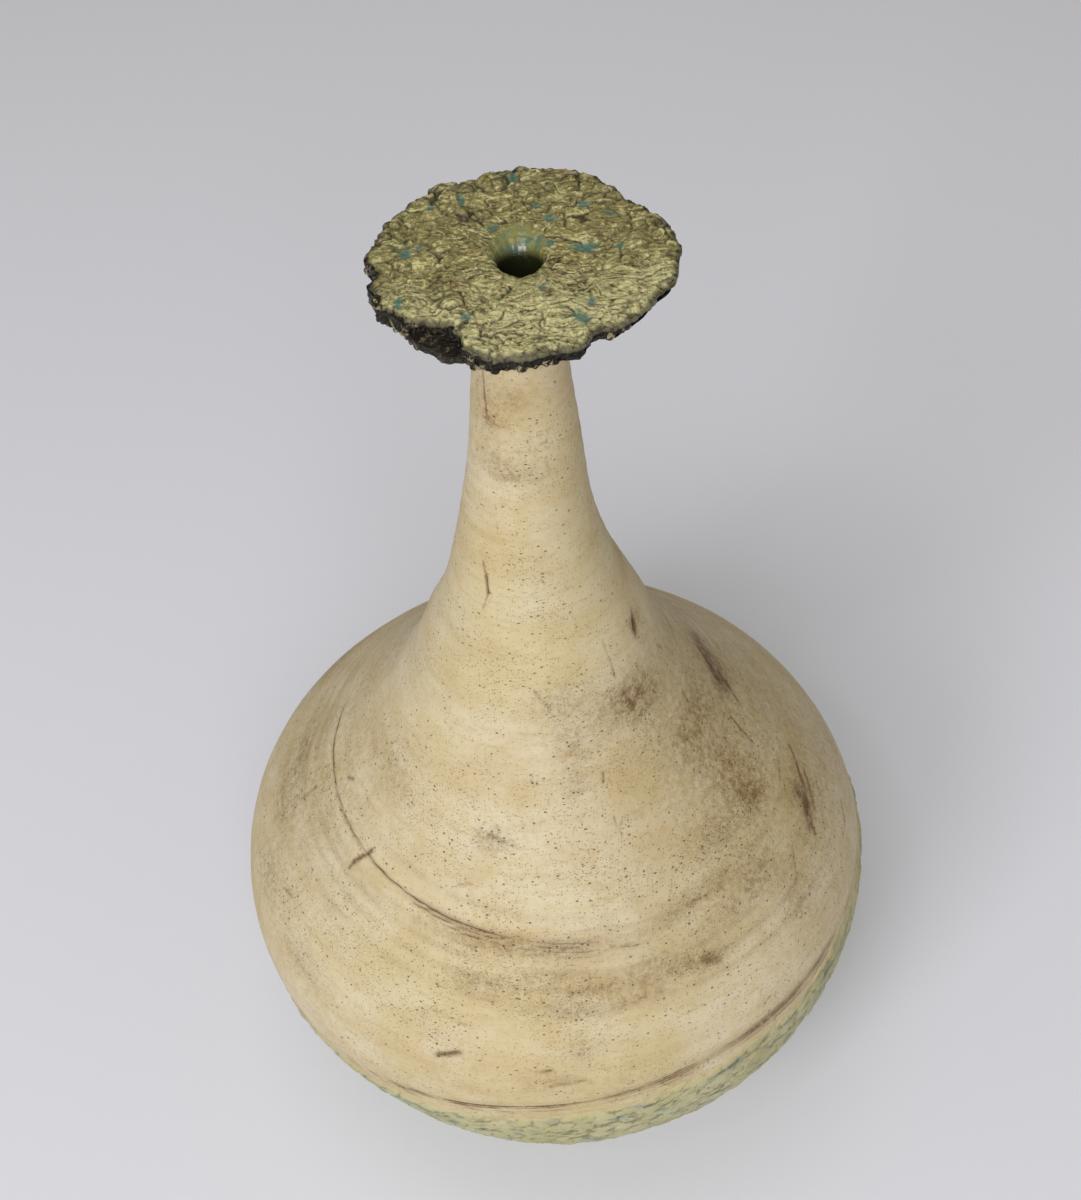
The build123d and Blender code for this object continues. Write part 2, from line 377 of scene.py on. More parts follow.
# %% [markdown]
# ## Marks on the wall
# A thrown pot keeps the marks of its making: a spiral line from the fingers, faint rings,
# a pair of lines turned with a tool above the rough coat, and later scratches and stains.
# The lines and scratches are cut into the mesh, and each also leaves a mask, so that the
# clay material can darken exactly what was cut. The two long lines also leave the distance
# from them, so that the material can draw strokes that are finer than the mesh. Places are
# an angle round the wall and a height in millimetres; 270 degrees is the front.

# %% Places on the wall
def on_wall(degrees, height):
    """The point of the wall at an angle and a height in millimetres."""
    z = height * MM
    radius = np.interp(z, wall_z, wall_radius)
    turn = math.radians(degrees)
    centre = np.interp(z, wall_z, wall_centre)
    return np.array((centre + radius * math.cos(turn), radius * math.sin(turn), z))


def from_segment(points, start, end):
    """Distances in millimetres from points to a straight stretch."""
    along = end - start
    share = np.clip((points - start) @ along / (along @ along), 0, 1)
    return np.linalg.norm(points - start - share[:, None] * along, axis=1) / MM


def degrees_round(points):
    """The angle of each point round the wall, from 0 to 360."""
    return np.degrees(polar(points)[0]) % 360


print("front of the widest ring", on_wall(270, widest_z / MM).round(3))

# %% Courses of the long lines
SPIRAL_TOP = 161.0
SPIRAL_ANGLE = 162.0
SPIRAL_FALL = 0.102
SHOULDER_FACTOR = 1.27
TURNED_HEIGHT = 99.6
TURNED_TILT = 0.118
TURNED_SAG = 0.0007
STRAY_SIZE = 4.0
SPIRAL_STRAY = 0.25
TURNED_STRAY = 0.12
SWAY_SIZE = 25.0
TURNED_SWAY = 0.35


def courses(points):
    """Distances in millimetres above the spiral and above the turned line."""
    fall = SPIRAL_FALL * (degrees_round(points) - SPIRAL_ANGLE)
    x, z = points[:, 0] / MM, points[:, 2] / MM
    ragged = field(points, STRAY_SIZE, 3)
    spiral = (z - SPIRAL_TOP + fall) * SHOULDER_FACTOR + SPIRAL_STRAY * ragged
    level = TURNED_HEIGHT + (TURNED_TILT - TURNED_SAG * x) * x
    turned = z - level + TURNED_SWAY * field(points, SWAY_SIZE, 11) + TURNED_STRAY * ragged
    return spiral, turned


print("spiral from", SPIRAL_TOP, "mm, turned line at", TURNED_HEIGHT, "mm")

# %% Thrown and turned lines
LINE_FADE = 14
LINE_DEPTH = 0.6
LEAST_DARK = 0.4
WORN_SIZE = 16.0
WORN_STRETCH = (1, 1, 0.4)
# Lines: distance above the course, half width, strength, and the angles between which they show
SPIRAL_LINES = (
    (0.0, 0.50, 0.85, 162, 238),
    (0.0, 0.45, 0.60, 224, 264),
    (0.3, 1.50, 0.28, 224, 304),
    (-1.3, 0.40, 0.42, 224, 280),
    (-2.6, 0.45, 0.50, 236, 300),
    (-3.9, 0.40, 0.34, 248, 290),
    (3.6, 0.90, 0.24, 268, 322),
    (-5.5, 1.30, 0.14, 12, 348),
    (-9.0, 1.20, 0.24, 12, 348),
    (-14.5, 1.30, 0.20, 12, 348),
    (-21.0, 1.40, 0.16, 12, 348),
    (7.0, 1.20, 0.12, 12, 348),
)
TURNED_LINES = (
    (0.0, 0.55, 0.50, -20, 380),
    (0.0, 0.85, 0.70, 232, 288),
    (1.0, 0.55, 0.60, 272, 312),
    (-1.0, 0.50, 0.55, 276, 318),
    (0.0, 2.20, 0.35, 292, 336),
    (-2.6, 0.60, 0.35, -20, 380),
    (2.4, 0.50, 0.20, -20, 380),
)


def shown(degrees, start, end):
    """1 between two angles, with a fade at both."""
    return ramp(degrees, start, start + LINE_FADE) * (1 - ramp(degrees, end - LINE_FADE, end))


def thrown_lines(points):
    """Depth in millimetres and darkness of the spiral and of the turned lines."""
    degrees = degrees_round(points)
    broken = ramp(field(points, WORN_SIZE, 5, WORN_STRETCH), -0.35, 0.25)
    depth = np.zeros(len(points))
    dark = np.zeros(len(points))
    for course, lines in zip(courses(points), (SPIRAL_LINES, TURNED_LINES)):
        for above, width, strength, start, end in lines:
            cut = strength * dent(course - above, width) * shown(degrees, start, end)
            depth += LINE_DEPTH * cut
            dark += cut * (LEAST_DARK + (1 - LEAST_DARK) * broken)
    return depth, dark


print("lines", len(SPIRAL_LINES) + len(TURNED_LINES))

# %% Scratches
# Start angle and height, end angle and height, half width, depth and darkness
SCRATCHES = (
    (212, 324, 222.5, 308, 0.30, 0.25, 0.80),
    (282, 300, 298, 299, 0.25, 0.15, 0.55),
    (289, 295, 290, 291, 0.25, 0.15, 0.45),
    (227, 256, 231, 251, 0.40, 0.50, 1.00),
    (231, 251, 234, 246, 0.45, 0.60, 1.00),
    (234, 246, 231, 240, 0.25, 0.25, 0.60),
    (266, 216.5, 273, 210.6, 0.30, 0.20, 0.80),
    (308.5, 226, 308.7, 213, 0.25, 0.12, 0.55),
    (346, 206, 350, 201, 0.35, 0.20, 0.70),
    (343, 188, 340.7, 185, 0.40, 0.20, 0.75),
    (291, 188, 290, 185.4, 0.35, 0.25, 0.85),
    (290, 176, 290.6, 171, 0.25, 0.15, 0.55),
    (20, 174, 3, 171.5, 4.80, 0.20, 0.50),
    (15, 176.5, 3, 173, 1.40, 0.20, 0.50),
    (24, 190, 14, 191.5, 1.40, 0.10, 0.35),
    (8, 171, 358, 166, 0.80, 0.25, 0.60),
    (350, 169, 347, 161, 0.45, 0.30, 0.85),
    (348.8, 152.4, 343, 150.6, 0.45, 0.15, 0.50),
    (354.4, 148, 346, 141, 0.70, 0.25, 0.75),
    (350, 145, 338, 134, 0.60, 0.25, 0.85),
    (350.4, 142.2, 343.3, 135.9, 0.80, 0.20, 0.75),
    (344, 141.5, 341.5, 139, 2.40, 0.20, 0.75),
    (344.4, 145, 343.2, 143.6, 1.60, 0.15, 0.55),
    (341, 139, 338.5, 136.5, 1.60, 0.15, 0.60),
    (331, 140, 326, 133, 0.40, 0.15, 0.55),
    (351.4, 123.4, 347.7, 120.4, 0.45, 0.15, 0.65),
    (188.8, 144.2, 189.2, 151.3, 0.40, 0.25, 0.80),
    (214.5, 151.5, 217.2, 157, 0.75, 0.55, 1.00),
    (214.5, 151.5, 214.3, 149.5, 0.60, 0.30, 0.80),
    (243.5, 160.6, 247.2, 161.7, 0.40, 0.15, 0.55),
    (195.8, 162.3, 197.8, 163.6, 0.60, 0.30, 0.80),
    (246.4, 115.6, 250.3, 118.4, 1.00, 0.60, 1.00),
    (264.8, 115.2, 266.5, 115.6, 0.70, 0.30, 0.90),
    (338.5, 224.5, 332, 218.2, 0.80, 0.30, 0.80),
    (335.8, 222, 334, 220.2, 1.50, 0.40, 0.95),
    (311, 207, 314, 201, 0.90, 0.30, 0.70),
    (299, 135.2, 302, 133.4, 1.10, 0.30, 0.75),
    (250, 174, 256, 172.4, 0.60, 0.25, 0.65),
    (330, 159, 335, 155, 1.20, 0.25, 0.55),
    (201.9, 127.8, 205.1, 129.2, 0.45, 0.25, 0.75),
    (243, 129.3, 252, 127, 0.35, 0.15, 0.50),
    (280.6, 147.4, 286.7, 146.4, 0.35, 0.12, 0.50),
    (266, 109, 272, 111, 0.40, 0.20, 0.60),
    (60, 150, 74, 147, 0.60, 0.30, 0.70),
    (98, 205, 101, 196, 0.50, 0.25, 0.60),
    (130, 125, 134, 127, 0.90, 0.40, 0.80),
    (40, 268, 44, 259, 0.35, 0.25, 0.60),
    (160, 230, 158, 221, 0.40, 0.20, 0.60),
    (84, 122, 92, 124, 0.40, 0.20, 0.55),
)
SCRATCH_STRAY = 0.45


def scratches(points):
    """Depth in millimetres and darkness of the scratches."""
    ragged = SCRATCH_STRAY * field(points, STRAY_SIZE, 3)
    depth = np.zeros(len(points))
    dark = np.zeros(len(points))
    for start_turn, start_z, end_turn, end_z, width, cut_depth, darkness in SCRATCHES:
        away = from_segment(points, on_wall(start_turn, start_z), on_wall(end_turn, end_z))
        cut = dent(away + ragged * width, width)
        depth += cut_depth * cut
        dark += darkness * cut
    return depth, dark


print("scratches", len(SCRATCHES))

# %% Stains
# Angle, height, half length round the wall, half height, strength
STAINS = (
    (14, 173, 9, 8, 0.70),
    (2, 172, 7, 5, 0.60),
    # Broad and soft: partly a real stain, partly painted shade on the right side, which turns from the light
    (338, 172, 50, 38, 0.34),
    (350, 140, 40, 30, 0.22),
    (346, 182, 14, 9, 0.40),
    (326, 200, 12, 8, 0.42),
    (329, 180, 10, 9, 0.42),
    (333, 166, 10, 10, 0.50),
    (332, 157, 7, 6, 0.75),
    (317, 159, 10, 7, 0.40),
    (320, 145, 9, 6, 0.45),
    (324, 130, 10, 8, 0.35),
    (345, 141, 9, 8, 0.50),
    (316, 203, 7, 7, 0.75),
    (300, 204, 8, 7, 0.48),
    (279, 212, 9, 7, 0.40),
    (280, 198, 5, 6, 0.55),
    (280, 187, 4, 5, 0.40),
    (337, 221, 4, 6, 0.65),
    (303, 150, 24, 3.5, 0.48),
    (311, 143, 14, 4, 0.48),
    (289, 141, 14, 3, 0.42),
    (264, 149, 30, 3.0, 0.55),
    (265, 142, 16, 2.5, 0.42),
    (253, 139, 14, 4, 0.58),
    (277, 138, 18, 3.5, 0.62),
    (294, 137, 14, 3, 0.58),
    (284, 133, 12, 2.5, 0.60),
    (269, 133, 14, 4, 0.48),
    (246, 150, 14, 3, 0.35),
    (252, 173, 7, 4, 0.60),
    (300, 134, 6, 4, 0.50),
    (268, 111, 9, 3, 0.45),
    (272, 122, 5, 4, 0.40),
    (229, 307, 4, 4, 0.60),
    (256, 315, 5, 5, 0.42),
    (218, 312, 5, 12, 0.35),
    (232, 292, 7, 5, 0.45),
    (268, 303, 9, 12, 0.15),
    (262, 289, 14, 3, 0.35),
    (205, 175, 16, 9, 0.38),
    # Broad and soft: partly a real stain, partly painted shade on the left flank
    (190, 152, 40, 26, 0.30),
    (174, 145, 20, 5, 0.50),
    (184, 136, 18, 6, 0.45),
    (196, 124, 14, 8, 0.42),
    (214, 117, 12, 6, 0.35),
    (150, 180, 16, 12, 0.40),
    (75, 150, 30, 9, 0.45),
    (110, 190, 14, 16, 0.45),
    (140, 130, 22, 10, 0.45),
    (45, 240, 8, 16, 0.40),
    (95, 128, 34, 5, 0.40),
)


def stains(points):
    """How much brown the clay took up at each point; the two broadest stains on the sides are partly painted
    shade.
    """
    taken = np.zeros(len(points))
    for turn, height, half_length, half_height, strength in STAINS:
        away = points - on_wall(turn, height)
        round_wall = np.array((-math.sin(math.radians(turn)), math.cos(math.radians(turn)), 0))
        aside = away @ round_wall / MM
        rest = np.linalg.norm(away - np.outer(away @ round_wall, round_wall), axis=1) / MM
        taken += strength * np.exp(-((aside / half_length) ** 2) - (rest / half_height) ** 2)
    return taken


print("stains", len(STAINS))

# %% Marks
RING_SPACING = 7.5
RING_DEPTH = 0.10
RING_WANDER = 2.0
# Lumps and scuffs: size and depth in millimetres, and seed
UNEVENNESS = ((55.0, 0.5, 23), (9.0, 0.07, 29))
# Where the drying wall sank in: height, half height and depth in millimetres, and the side;
# a negative depth is a swelling
SINKS = (
    (46, 28, 3.6, "front left"),
    (152, 18, 1.8, "back"),
    (262, 22, 0.90, "right, not left"),
    (316, 20, 0.75, "right, not left"),
    (262, 16, 0.4, "all round"),
    (308, 24, -1.0, "all round"),
    (224, 13, -0.8, "mostly right"),
    (212, 9, -1.4, "all round"),
)
# The front left: its angle, and how many degrees it spreads; the back: from which sine to which it fades in
FRONT_LEFT = (222, 26)
BACK = (-0.05, 0.3)


def settling(points):
    """How far the wall sank in while it dried, in millimetres."""
    degrees = degrees_round(points)
    across = np.cos(np.radians(degrees))
    middle, spread = FRONT_LEFT
    sides = {
        "front left": dent(degrees - middle, spread),
        "back": ramp(np.sin(np.radians(degrees)), *BACK),
        "right, not left": across,
        "mostly right": 1 + across,
        "all round": np.ones(len(points)),
    }
    sunk = np.zeros(len(points))
    for height, half_height, depth, side in SINKS:
        sunk += depth * sides[side] * dent(points[:, 2] / MM - height, half_height)
    return sunk


def wall_marks(points):
    """How far the wall is pushed in at each point, in millimetres, and the masks of its marks."""
    line_depth, line_dark = thrown_lines(points)
    scratch_depth, scratch_dark = scratches(points)
    length = np.interp(points[:, 2], wall_z, wall_length) / MM
    wander = RING_WANDER * field(points, 60.0, 17)
    strength = 0.5 + 0.5 * field(points, 40.0, 19)
    rings = np.sin(2 * math.pi * (length + wander) / RING_SPACING) * strength
    uneven = RING_DEPTH * rings + summed(points, UNEVENNESS)
    depth = line_depth + scratch_depth + uneven + settling(points)
    return depth, np.clip(line_dark + scratch_dark, 0, 1), np.clip(stains(points), 0, 1)


print("marks ready,", len(SINKS), "sinks")

# %% [markdown]
# ## The thrown pieces
# The bowl, the dome and the neck are three shells that meet at their luted joints. Each
# section runs up the outside in short steps and down the inside in long ones, because
# only the outside is seen from close by. The marks are read at the points' own places, so
# they run on from one piece to the next without a step.

# %% Thrown pieces
OUTSIDE_STEP = 0.85 * MM
INSIDE_ROWS = 18
JOINT_STEP = 3.0 * MM
WALL_CORNER = 60
RING_CUTS = {"thrown_bowl": 8, "thrown_dome": 13, "thrown_neck": 8}


def outside_section(low, high, step):
    """Points up the outside of the wall, evenly spaced along it."""
    start = np.interp(low, wall_z, wall_length)
    end = np.interp(high, wall_z, wall_length)
    count = max(2, int(round((end - start) / step)) + 1)
    heights = np.interp(np.linspace(start, end, count), wall_length, wall_z)
    return [(np.interp(z, wall_z, wall_radius), z) for z in heights]


def inside_section(low, high):
    """Points down the inside of the wall."""
    heights = np.linspace(high, low, INSIDE_ROWS)
    return [(np.interp(z, hollow_z, hollow_radius), z) for z in heights]


def thrown_piece(name, section, *nodes):
    """A shell of the wall with its marks, in place of its nodes."""
    mesh = spun(name, section, RING_CUTS[name])
    points = places(mesh)
    outer = np.interp(points[:, 2], wall_z, wall_radius)
    inner = np.interp(points[:, 2], hollow_z, hollow_radius, left=0)
    outside = ramp(polar(points)[1] - (outer + inner) / 2, 0, MM)
    points[:, 0] += np.interp(points[:, 2], wall_z, wall_centre)
    depth, line, stain = wall_marks(points)
    put(mesh, points - outward(points) * (depth * outside * MM)[:, None])
    spiral, turned = courses(points)
    keep_masks(mesh, line=line * outside, stain=stain * outside, spiral=spiral, turned=turned)
    return finished(mesh, "body_clay", *nodes, corner=WALL_CORNER)


bowl_section = (
    [(0, base_z), (0.5 * wall_radius[0], base_z)]
    + outside_section(base_z, widest_z, 2 * OUTSIDE_STEP)
    + inside_section(floor_z + 2 * MM, widest_z - JOINT_STEP)
    + [(0.5 * hollow_radius[0], floor_z), (0, floor_z)]
)
thrown_bowl = thrown_piece("thrown_bowl", bowl_section, "base_bowl")
dome_section = outside_section(widest_z, seat_z, OUTSIDE_STEP)
dome_section += inside_section(widest_z - JOINT_STEP, seat_z)
thrown_dome = thrown_piece("thrown_dome", dome_section, "shoulder_dome", "body_slip")
neck_section = outside_section(seat_z, neck_top_z, OUTSIDE_STEP) + inside_section(seat_z, neck_top_z)
thrown_neck = thrown_piece("thrown_neck", neck_section, "neck", "neck_slip")

# %% [markdown]
# ## The torn slab and its coats
# The disc is a torn slab: nobody cut its edge. Its outline is read from the solids all the
# way round, and finer tears are added. Three pieces make it: the crackled coat on top, which
# dips into the mouth and lines the throat, the slab below, and the dark glaze on the torn edge.
# The coat is a spun section whose rows are then drawn out to the torn outline, so the grid
# stays even and every ridge is real geometry.

# %% The torn outline
RIM_CENTRE = (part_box("rim_slip")[0].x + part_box("rim_slip")[1].x) / 2
disc_under_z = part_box("rim_disc")[0].z
glaze_top_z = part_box("rim_glaze")[1].z
glaze_bottom_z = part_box("rim_disc")[1].z
lining_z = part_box("rim_glaze")[0].z
edge_low_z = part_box("edge_glaze")[0].z
OUTLINE_STEPS = 720
EDGE_READ = 0.8 * MM
glaze_tree = tree_of("rim_glaze")
slab_tree = tree_of("rim_disc")
outline_turn = np.linspace(0, 2 * math.pi, OUTLINE_STEPS, endpoint=False)


def outline(tree, height):
    """How far a solid reaches from the middle of the disc, all the way round."""
    return np.array([reach(tree, turn, height, RIM_CENTRE) for turn in outline_turn])


coat_outline = outline(glaze_tree, (glaze_top_z + glaze_bottom_z) / 2)
edge_outline = outline(slab_tree, edge_low_z + EDGE_READ)
print("outline", round(coat_outline.min(), 4), "to", round(coat_outline.max(), 4))

# %% Tears and the chip
DISC_RADIUS = 40.0 * MM
# Lobes of the torn edge: size and height in millimetres, and seed
LOBES = ((8.0, 1.9, 67), (2.6, 0.9, 71))
LOBE_MIDDLE = 0.6
# The thick edge and the short glaze: the middle angle, and from which cosine to which they fade in
THICK_EDGE = (math.radians(232), -0.15, 0.55)
SHORT_GLAZE = (math.radians(215), 0.55, 0.95)
GLAZE_OVERHANG = 1.2
GLAZE_SHORTFALL = 1.6
# Where a chip is off the glaze: angle, and how far the glaze reaches there in millimetres
CHIP = ((214, 41), (218, 38.2), (222, 35.2), (228, 33.2), (236, 32.4), (241, 33.8), (244.5, 37), (247, 42))
NO_CHIP = 1000
CHIP_RAGGED = 0.5
# From which width in millimetres a ledge counts, and how sharply it starts at the glaze
LEDGE_WIDTH = (1.6, 3.2)
LEDGE_START = (-0.4, 0.5)


def around(values, turn):
    """A value of the outline at any angle."""
    return np.interp(turn, outline_turn, values, period=2 * math.pi)


def on_circle(turn):
    """Points on a circle of the disc's size, at which noise round the edge is read."""
    return from_polar(turn, DISC_RADIUS, np.zeros(len(turn)))


def tears(turn):
    """How far the torn edge stands out from the outline: round lobes with sharp notches between."""
    circle = on_circle(turn)
    return (sum(rise * np.abs(field(circle, size, seed)) for size, rise, seed in LOBES) - LOBE_MIDDLE) * MM


def side_share(turn, side):
    """1 on one side of the disc, and 0 on the others."""
    middle, low, high = side
    return ramp(np.cos(turn - middle), low, high)


def coat_edge(turn):
    """How far the glaze reaches, before its finer tears: short at the left, and shorter at the chip."""
    overhang = GLAZE_OVERHANG - GLAZE_SHORTFALL * side_share(turn, SHORT_GLAZE)
    angles, reaches = np.array(CHIP, dtype=float).T
    chip = np.interp(np.degrees(turn) % 360, angles, reaches, left=NO_CHIP, right=NO_CHIP)
    chip = (chip + CHIP_RAGGED * field(on_circle(turn), 3.0, 69)) * MM
    return np.minimum(around(coat_outline, turn) + overhang * MM, chip)


def bitten(turn, reach_here):
    """1 on the bare ledge outside the glaze, and 0 under the glaze or where there is no ledge."""
    ledge = ramp((around(edge_outline, turn) - coat_edge(turn)) / MM, *LEDGE_WIDTH)
    return ledge * ramp((reach_here - coat_edge(turn)) / MM, *LEDGE_START)


print("chip over", CHIP[-1][0] - CHIP[0][0], "degrees")

# %% The mouth
THROAT_RADIUS = hollow(glaze_tree, (lining_z + neck_top_z) / 2, RIM_CENTRE)
FUNNEL_RADIUS = 12.0 * MM
FUNNEL_DEPTH = 7.0 * MM
FUNNEL_ROWS = 26
FLARE = 1.15
THROAT_ROWS = 10
TOP_ROWS = 108
COAT_SINK = 1.0 * MM
LINING = 0.6 * MM
LINING_AT_FUNNEL = 1.5 * MM
# The lip: angle, and distance from the middle in millimetres; it is drawn out to the back
LIP = (
    (14, 8.0), (47, 10.7), (68, 13.6), (90, 16.2), (108, 14.2), (134, 11.0), (161, 8.8),
    (196, 7.5), (231, 8.2), (251, 9.6), (264, 11.8), (280, 10.8), (301, 9.2), (330, 7.8),
)
LIP_RAGGED = 0.8


def lip_reach(turn):
    """How far the lip is from the middle of the mouth."""
    angles, reaches = np.array(LIP, dtype=float).T
    smooth = np.interp(np.degrees(turn) % 360, angles, reaches, period=360)
    return (smooth + LIP_RAGGED * field(on_circle(turn), 7.0, 79)) * MM


def coat_section():
    """Up the throat, over the lip, out to the edge, and back under to where it began.

    A radius of 1 stands for the torn edge, to which the rows of the top are drawn later.
    """
    section = [(THROAT_RADIUS, z) for z in np.linspace(lining_z, glaze_top_z - FUNNEL_DEPTH, THROAT_ROWS)]
    for share in np.linspace(0, 1, FUNNEL_ROWS)[1:]:
        turn = share * math.pi / 2
        radius = THROAT_RADIUS + (FUNNEL_RADIUS - THROAT_RADIUS) * (1 - math.cos(turn)) ** FLARE
        section.append((radius, glaze_top_z - FUNNEL_DEPTH * (1 - math.sin(turn))))
    section += [(radius, glaze_top_z) for radius in np.linspace(FUNNEL_RADIUS, 1.0, TOP_ROWS)[1:]]
    under_z = glaze_bottom_z - COAT_SINK
    section += [(1.0, under_z), (0.4, under_z)]
    section += [(THROAT_RADIUS + LINING_AT_FUNNEL, under_z - FUNNEL_DEPTH)]
    section += [(THROAT_RADIUS + LINING, lining_z)]
    return section


print("throat radius", round(THROAT_RADIUS, 4))

# %% Plates and their borders
FLAT = np.array((1, 1, 0))
# How far borders stray sideways: size and distance in millimetres, and a seed for each direction
STRAYS = ((9.0, 2.2, (41, 43)), (2.0, 0.5, (44, 45)))
# Loose plates: place from the disc's middle, half length, half width in millimetres, and turn in degrees
LOOSE_PLATES = (
    (-13.2, 33.1, 3.4, 2.9, 20),
    (-5.9, 34.0, 4.8, 3.4, 10),
    (-17.6, -18.1, 2.7, 3.4, 0),
    (-14.8, 19.6, 3.2, 2.0, 0),
    (-32.3, 18.7, 2.6, 2.6, 40),
    (-36.4, 11.1, 2.6, 2.4, 60),
    (27.6, 23.6, 2.8, 2.6, 140),
    (20.8, 31.5, 5.0, 2.4, 160),
    (-8.1, 19.4, 2.6, 1.8, 0),
    (36.4, 10.4, 2.6, 2.8, 110),
)


def oval_spread(points, oval):
    """0 in the middle of an oval on the disc, 1 on its outline."""
    middle_x, middle_y, half_length, half_width, turn = oval
    x = (points[:, 0] - RIM_CENTRE) / MM - middle_x
    y = points[:, 1] / MM - middle_y
    c, s = math.cos(math.radians(turn)), math.sin(math.radians(turn))
    return np.hypot((x * c + y * s) / half_length, (y * c - x * s) / half_width)


def strayed(flat):
    """Points of the disc moved sideways, so that what is read there has wavy borders."""
    bent = flat
    for size, distance, seeds in STRAYS:
        aside = [field(flat, size, seed) for seed in seeds]
        bent = bent + distance * MM * np.stack([*aside, np.zeros(len(flat))], axis=1)
    return bent


print("loose plates", len(LOOSE_PLATES))

# %% Crumpled relief
PLATE_SIZE = 9.0
CRUMPLE = (0.72, 1.1, 1)
# Where plates part in open cracks: towards the rim, and towards the back, in millimetres
RIMWARD = (24, 36)
BACKWARD = (-30, 10)
PLATE_STEP = 0.5
CRACK_DEPTH = 0.7
# Flakes overlap like shingles and drop off towards the front: spacing, waviness and height in millimetres
FLAKES = ((7.5, 2.0, 0.55), (4.0, 1.8, 0.30))
# Creases between soft swellings: size and height in millimetres
SWELLINGS = ((8.0, 0.50), (3.6, 0.34))
CRINKLES = ((1.8, 0.16), (1.2, 0.16))
LOOSE_HEIGHT = 0.7
GAP_DEPTH = 0.4
LOWERED = 0.2
# How much the plates, slow patches, flakes, crinkles and grain change the brightness; for the flakes and
# crinkles this is painted highlight
BRIGHT_MIDDLE = 0.46
BRIGHT_PLATES = 0.2
BRIGHT_PATCHES = 0.25
LIP_HIGHLIGHT = 0.50
CRINKLE_HIGHLIGHT = 0.35
BRIGHT_GRAIN = 0.40


def top_relief(points):
    """Height in millimetres of the crumpled top, how bright each spot is, with painted highlights on the
    flakes' lips and the crinkles, and how dark it is in the cracks, with painted shade at the flakes' feet
    and in the creases.
    """
    flat = points * FLAT
    bent = strayed(flat)
    near, second, label = cells(bent, PLATE_SIZE, 1, CRUMPLE)
    border = second - near
    from_middle = np.hypot(flat[:, 0] - RIM_CENTRE, flat[:, 1]) / MM
    rimward = ramp(from_middle, *RIMWARD) * ramp(flat[:, 1] / MM, *BACKWARD)
    parted = np.maximum(ramp(field(flat, 13.0, 59), 0.1, 0.4), rimward)
    crack = (1 - ramp(border, 0.01, 0.06)) * parted
    height = PLATE_STEP * (label - 0.5) * ramp(border, 0.0, 0.2) - CRACK_DEPTH * crack
    bright = BRIGHT_MIDDLE + BRIGHT_PLATES * (label - 0.5) + BRIGHT_PATCHES * field(flat, 7.0, 57)

    loose = np.min([oval_spread(bent, oval) for oval in LOOSE_PLATES], axis=0)
    around_plate = dent(loose - 1, 0.12)
    height += LOOSE_HEIGHT * (1 - ramp(loose, 0.5, 1.0)) - GAP_DEPTH * around_plate
    crack = np.maximum(crack, around_plate)

    calm = np.ones(len(flat))
    for seed, (spacing, wave, rise) in enumerate(FLAKES):
        level = wave * field(bent, 1.2 * spacing, 53 + seed, CRUMPLE) - flat[:, 1] / (spacing * MM)
        part = level - np.floor(level)
        broken = ramp(field(flat, spacing, 61 + seed), -0.05, 0.35) * ramp(loose, 0.8, 1.1)
        lip = ramp(part, 0.78, 0.95) * broken
        height += rise * (part - 0.5)
        # painted shadow: dark at the foot of each flake, just in front of its step
        crack = np.maximum(crack, 0.95 * (1 - ramp(part, 0.05, 0.18)) * broken)
        # painted highlight: the lip of each flake is made brighter
        bright += LIP_HIGHLIGHT * lip
        calm = np.minimum(calm, 1 - broken)
    for seed, (size, rise) in enumerate(SWELLINGS):
        swell = field(bent, size, 47 + seed, CRUMPLE)
        height += 2 * rise * np.abs(swell)
        # painted shade in the creases between the swellings
        crack = np.maximum(crack, 0.8 * dent(swell, 0.25 / size) * calm)
    for seed, (size, rise) in enumerate(CRINKLES):
        ridge = dent(field(bent, size, 51 + seed, CRUMPLE), 0.13)
        height += rise * ridge
        # painted highlight along the crinkle ridges, a little darker beside them
        bright += CRINKLE_HIGHLIGHT * (ridge - 0.3)
    bright += BRIGHT_GRAIN * field(flat, 1.2, 55)
    return height - np.mean(height) - LOWERED, np.clip(bright, 0, 1), np.clip(crack, 0, 1)


print("relief of", len(FLAKES), "sizes of flakes and", len(SWELLINGS), "of swellings")

# %% Turquoise pools
# Place from the disc's middle, half length, half width in millimetres, and turn in degrees
POOLS = (
    (0.1, 35.6, 1.3, 2.5, 0),
    (-14.7, 26.4, 1.0, 2.7, 10),
    (-22.6, 23.6, 1.4, 2.2, 150),
    (-29.8, 4.2, 1.7, 2.9, 0),
    (-26.0, 5.8, 1.1, 1.0, 0),
    (-31.6, -16.0, 1.1, 2.5, 0),
    (-14.8, -23.6, 1.6, 1.3, 10),
    (8.6, 15.0, 2.2, 1.3, 0),
    (18.1, 20.5, 1.5, 1.5, 10),
    (24.9, 15.5, 2.0, 1.0, 140),
    (17.5, 1.4, 4.4, 1.9, 0),
    (26.4, 1.2, 1.3, 1.0, 30),
    (5.4, -13.9, 1.6, 0.9, 0),
    (17.3, -21.5, 1.3, 1.7, 0),
    (13.9, -27.1, 1.9, 3.0, 20),
    (-6.6, 12.8, 1.5, 1.3, 20),
    (8.3, 4.6, 1.2, 1.4, 0),
    (-13.4, -38.5, 2.6, 1.0, 170),
    (5.3, 20.7, 2.0, 1.0, 0),
    (-1.2, 7.0, 1.5, 1.0, 0),
    (5.2, 7.4, 0.8, 1.4, 160),
    (2.8, 8.2, 1.2, 0.9, 0),
)
POOL_DEPTH = 0.30
POOL_RAGGED = 0.5
POOL_BORDER = (0.40, 1.35)


def pool_mask(points):
    """1 inside a turquoise pool, 0 outside, with ragged borders."""
    ragged = POOL_RAGGED * field(points * FLAT, 2.4, 63)
    spread = np.min([oval_spread(points, pool) for pool in POOLS], axis=0) + ragged
    return 1 - ramp(spread, *POOL_BORDER)


print("pools", len(POOLS))

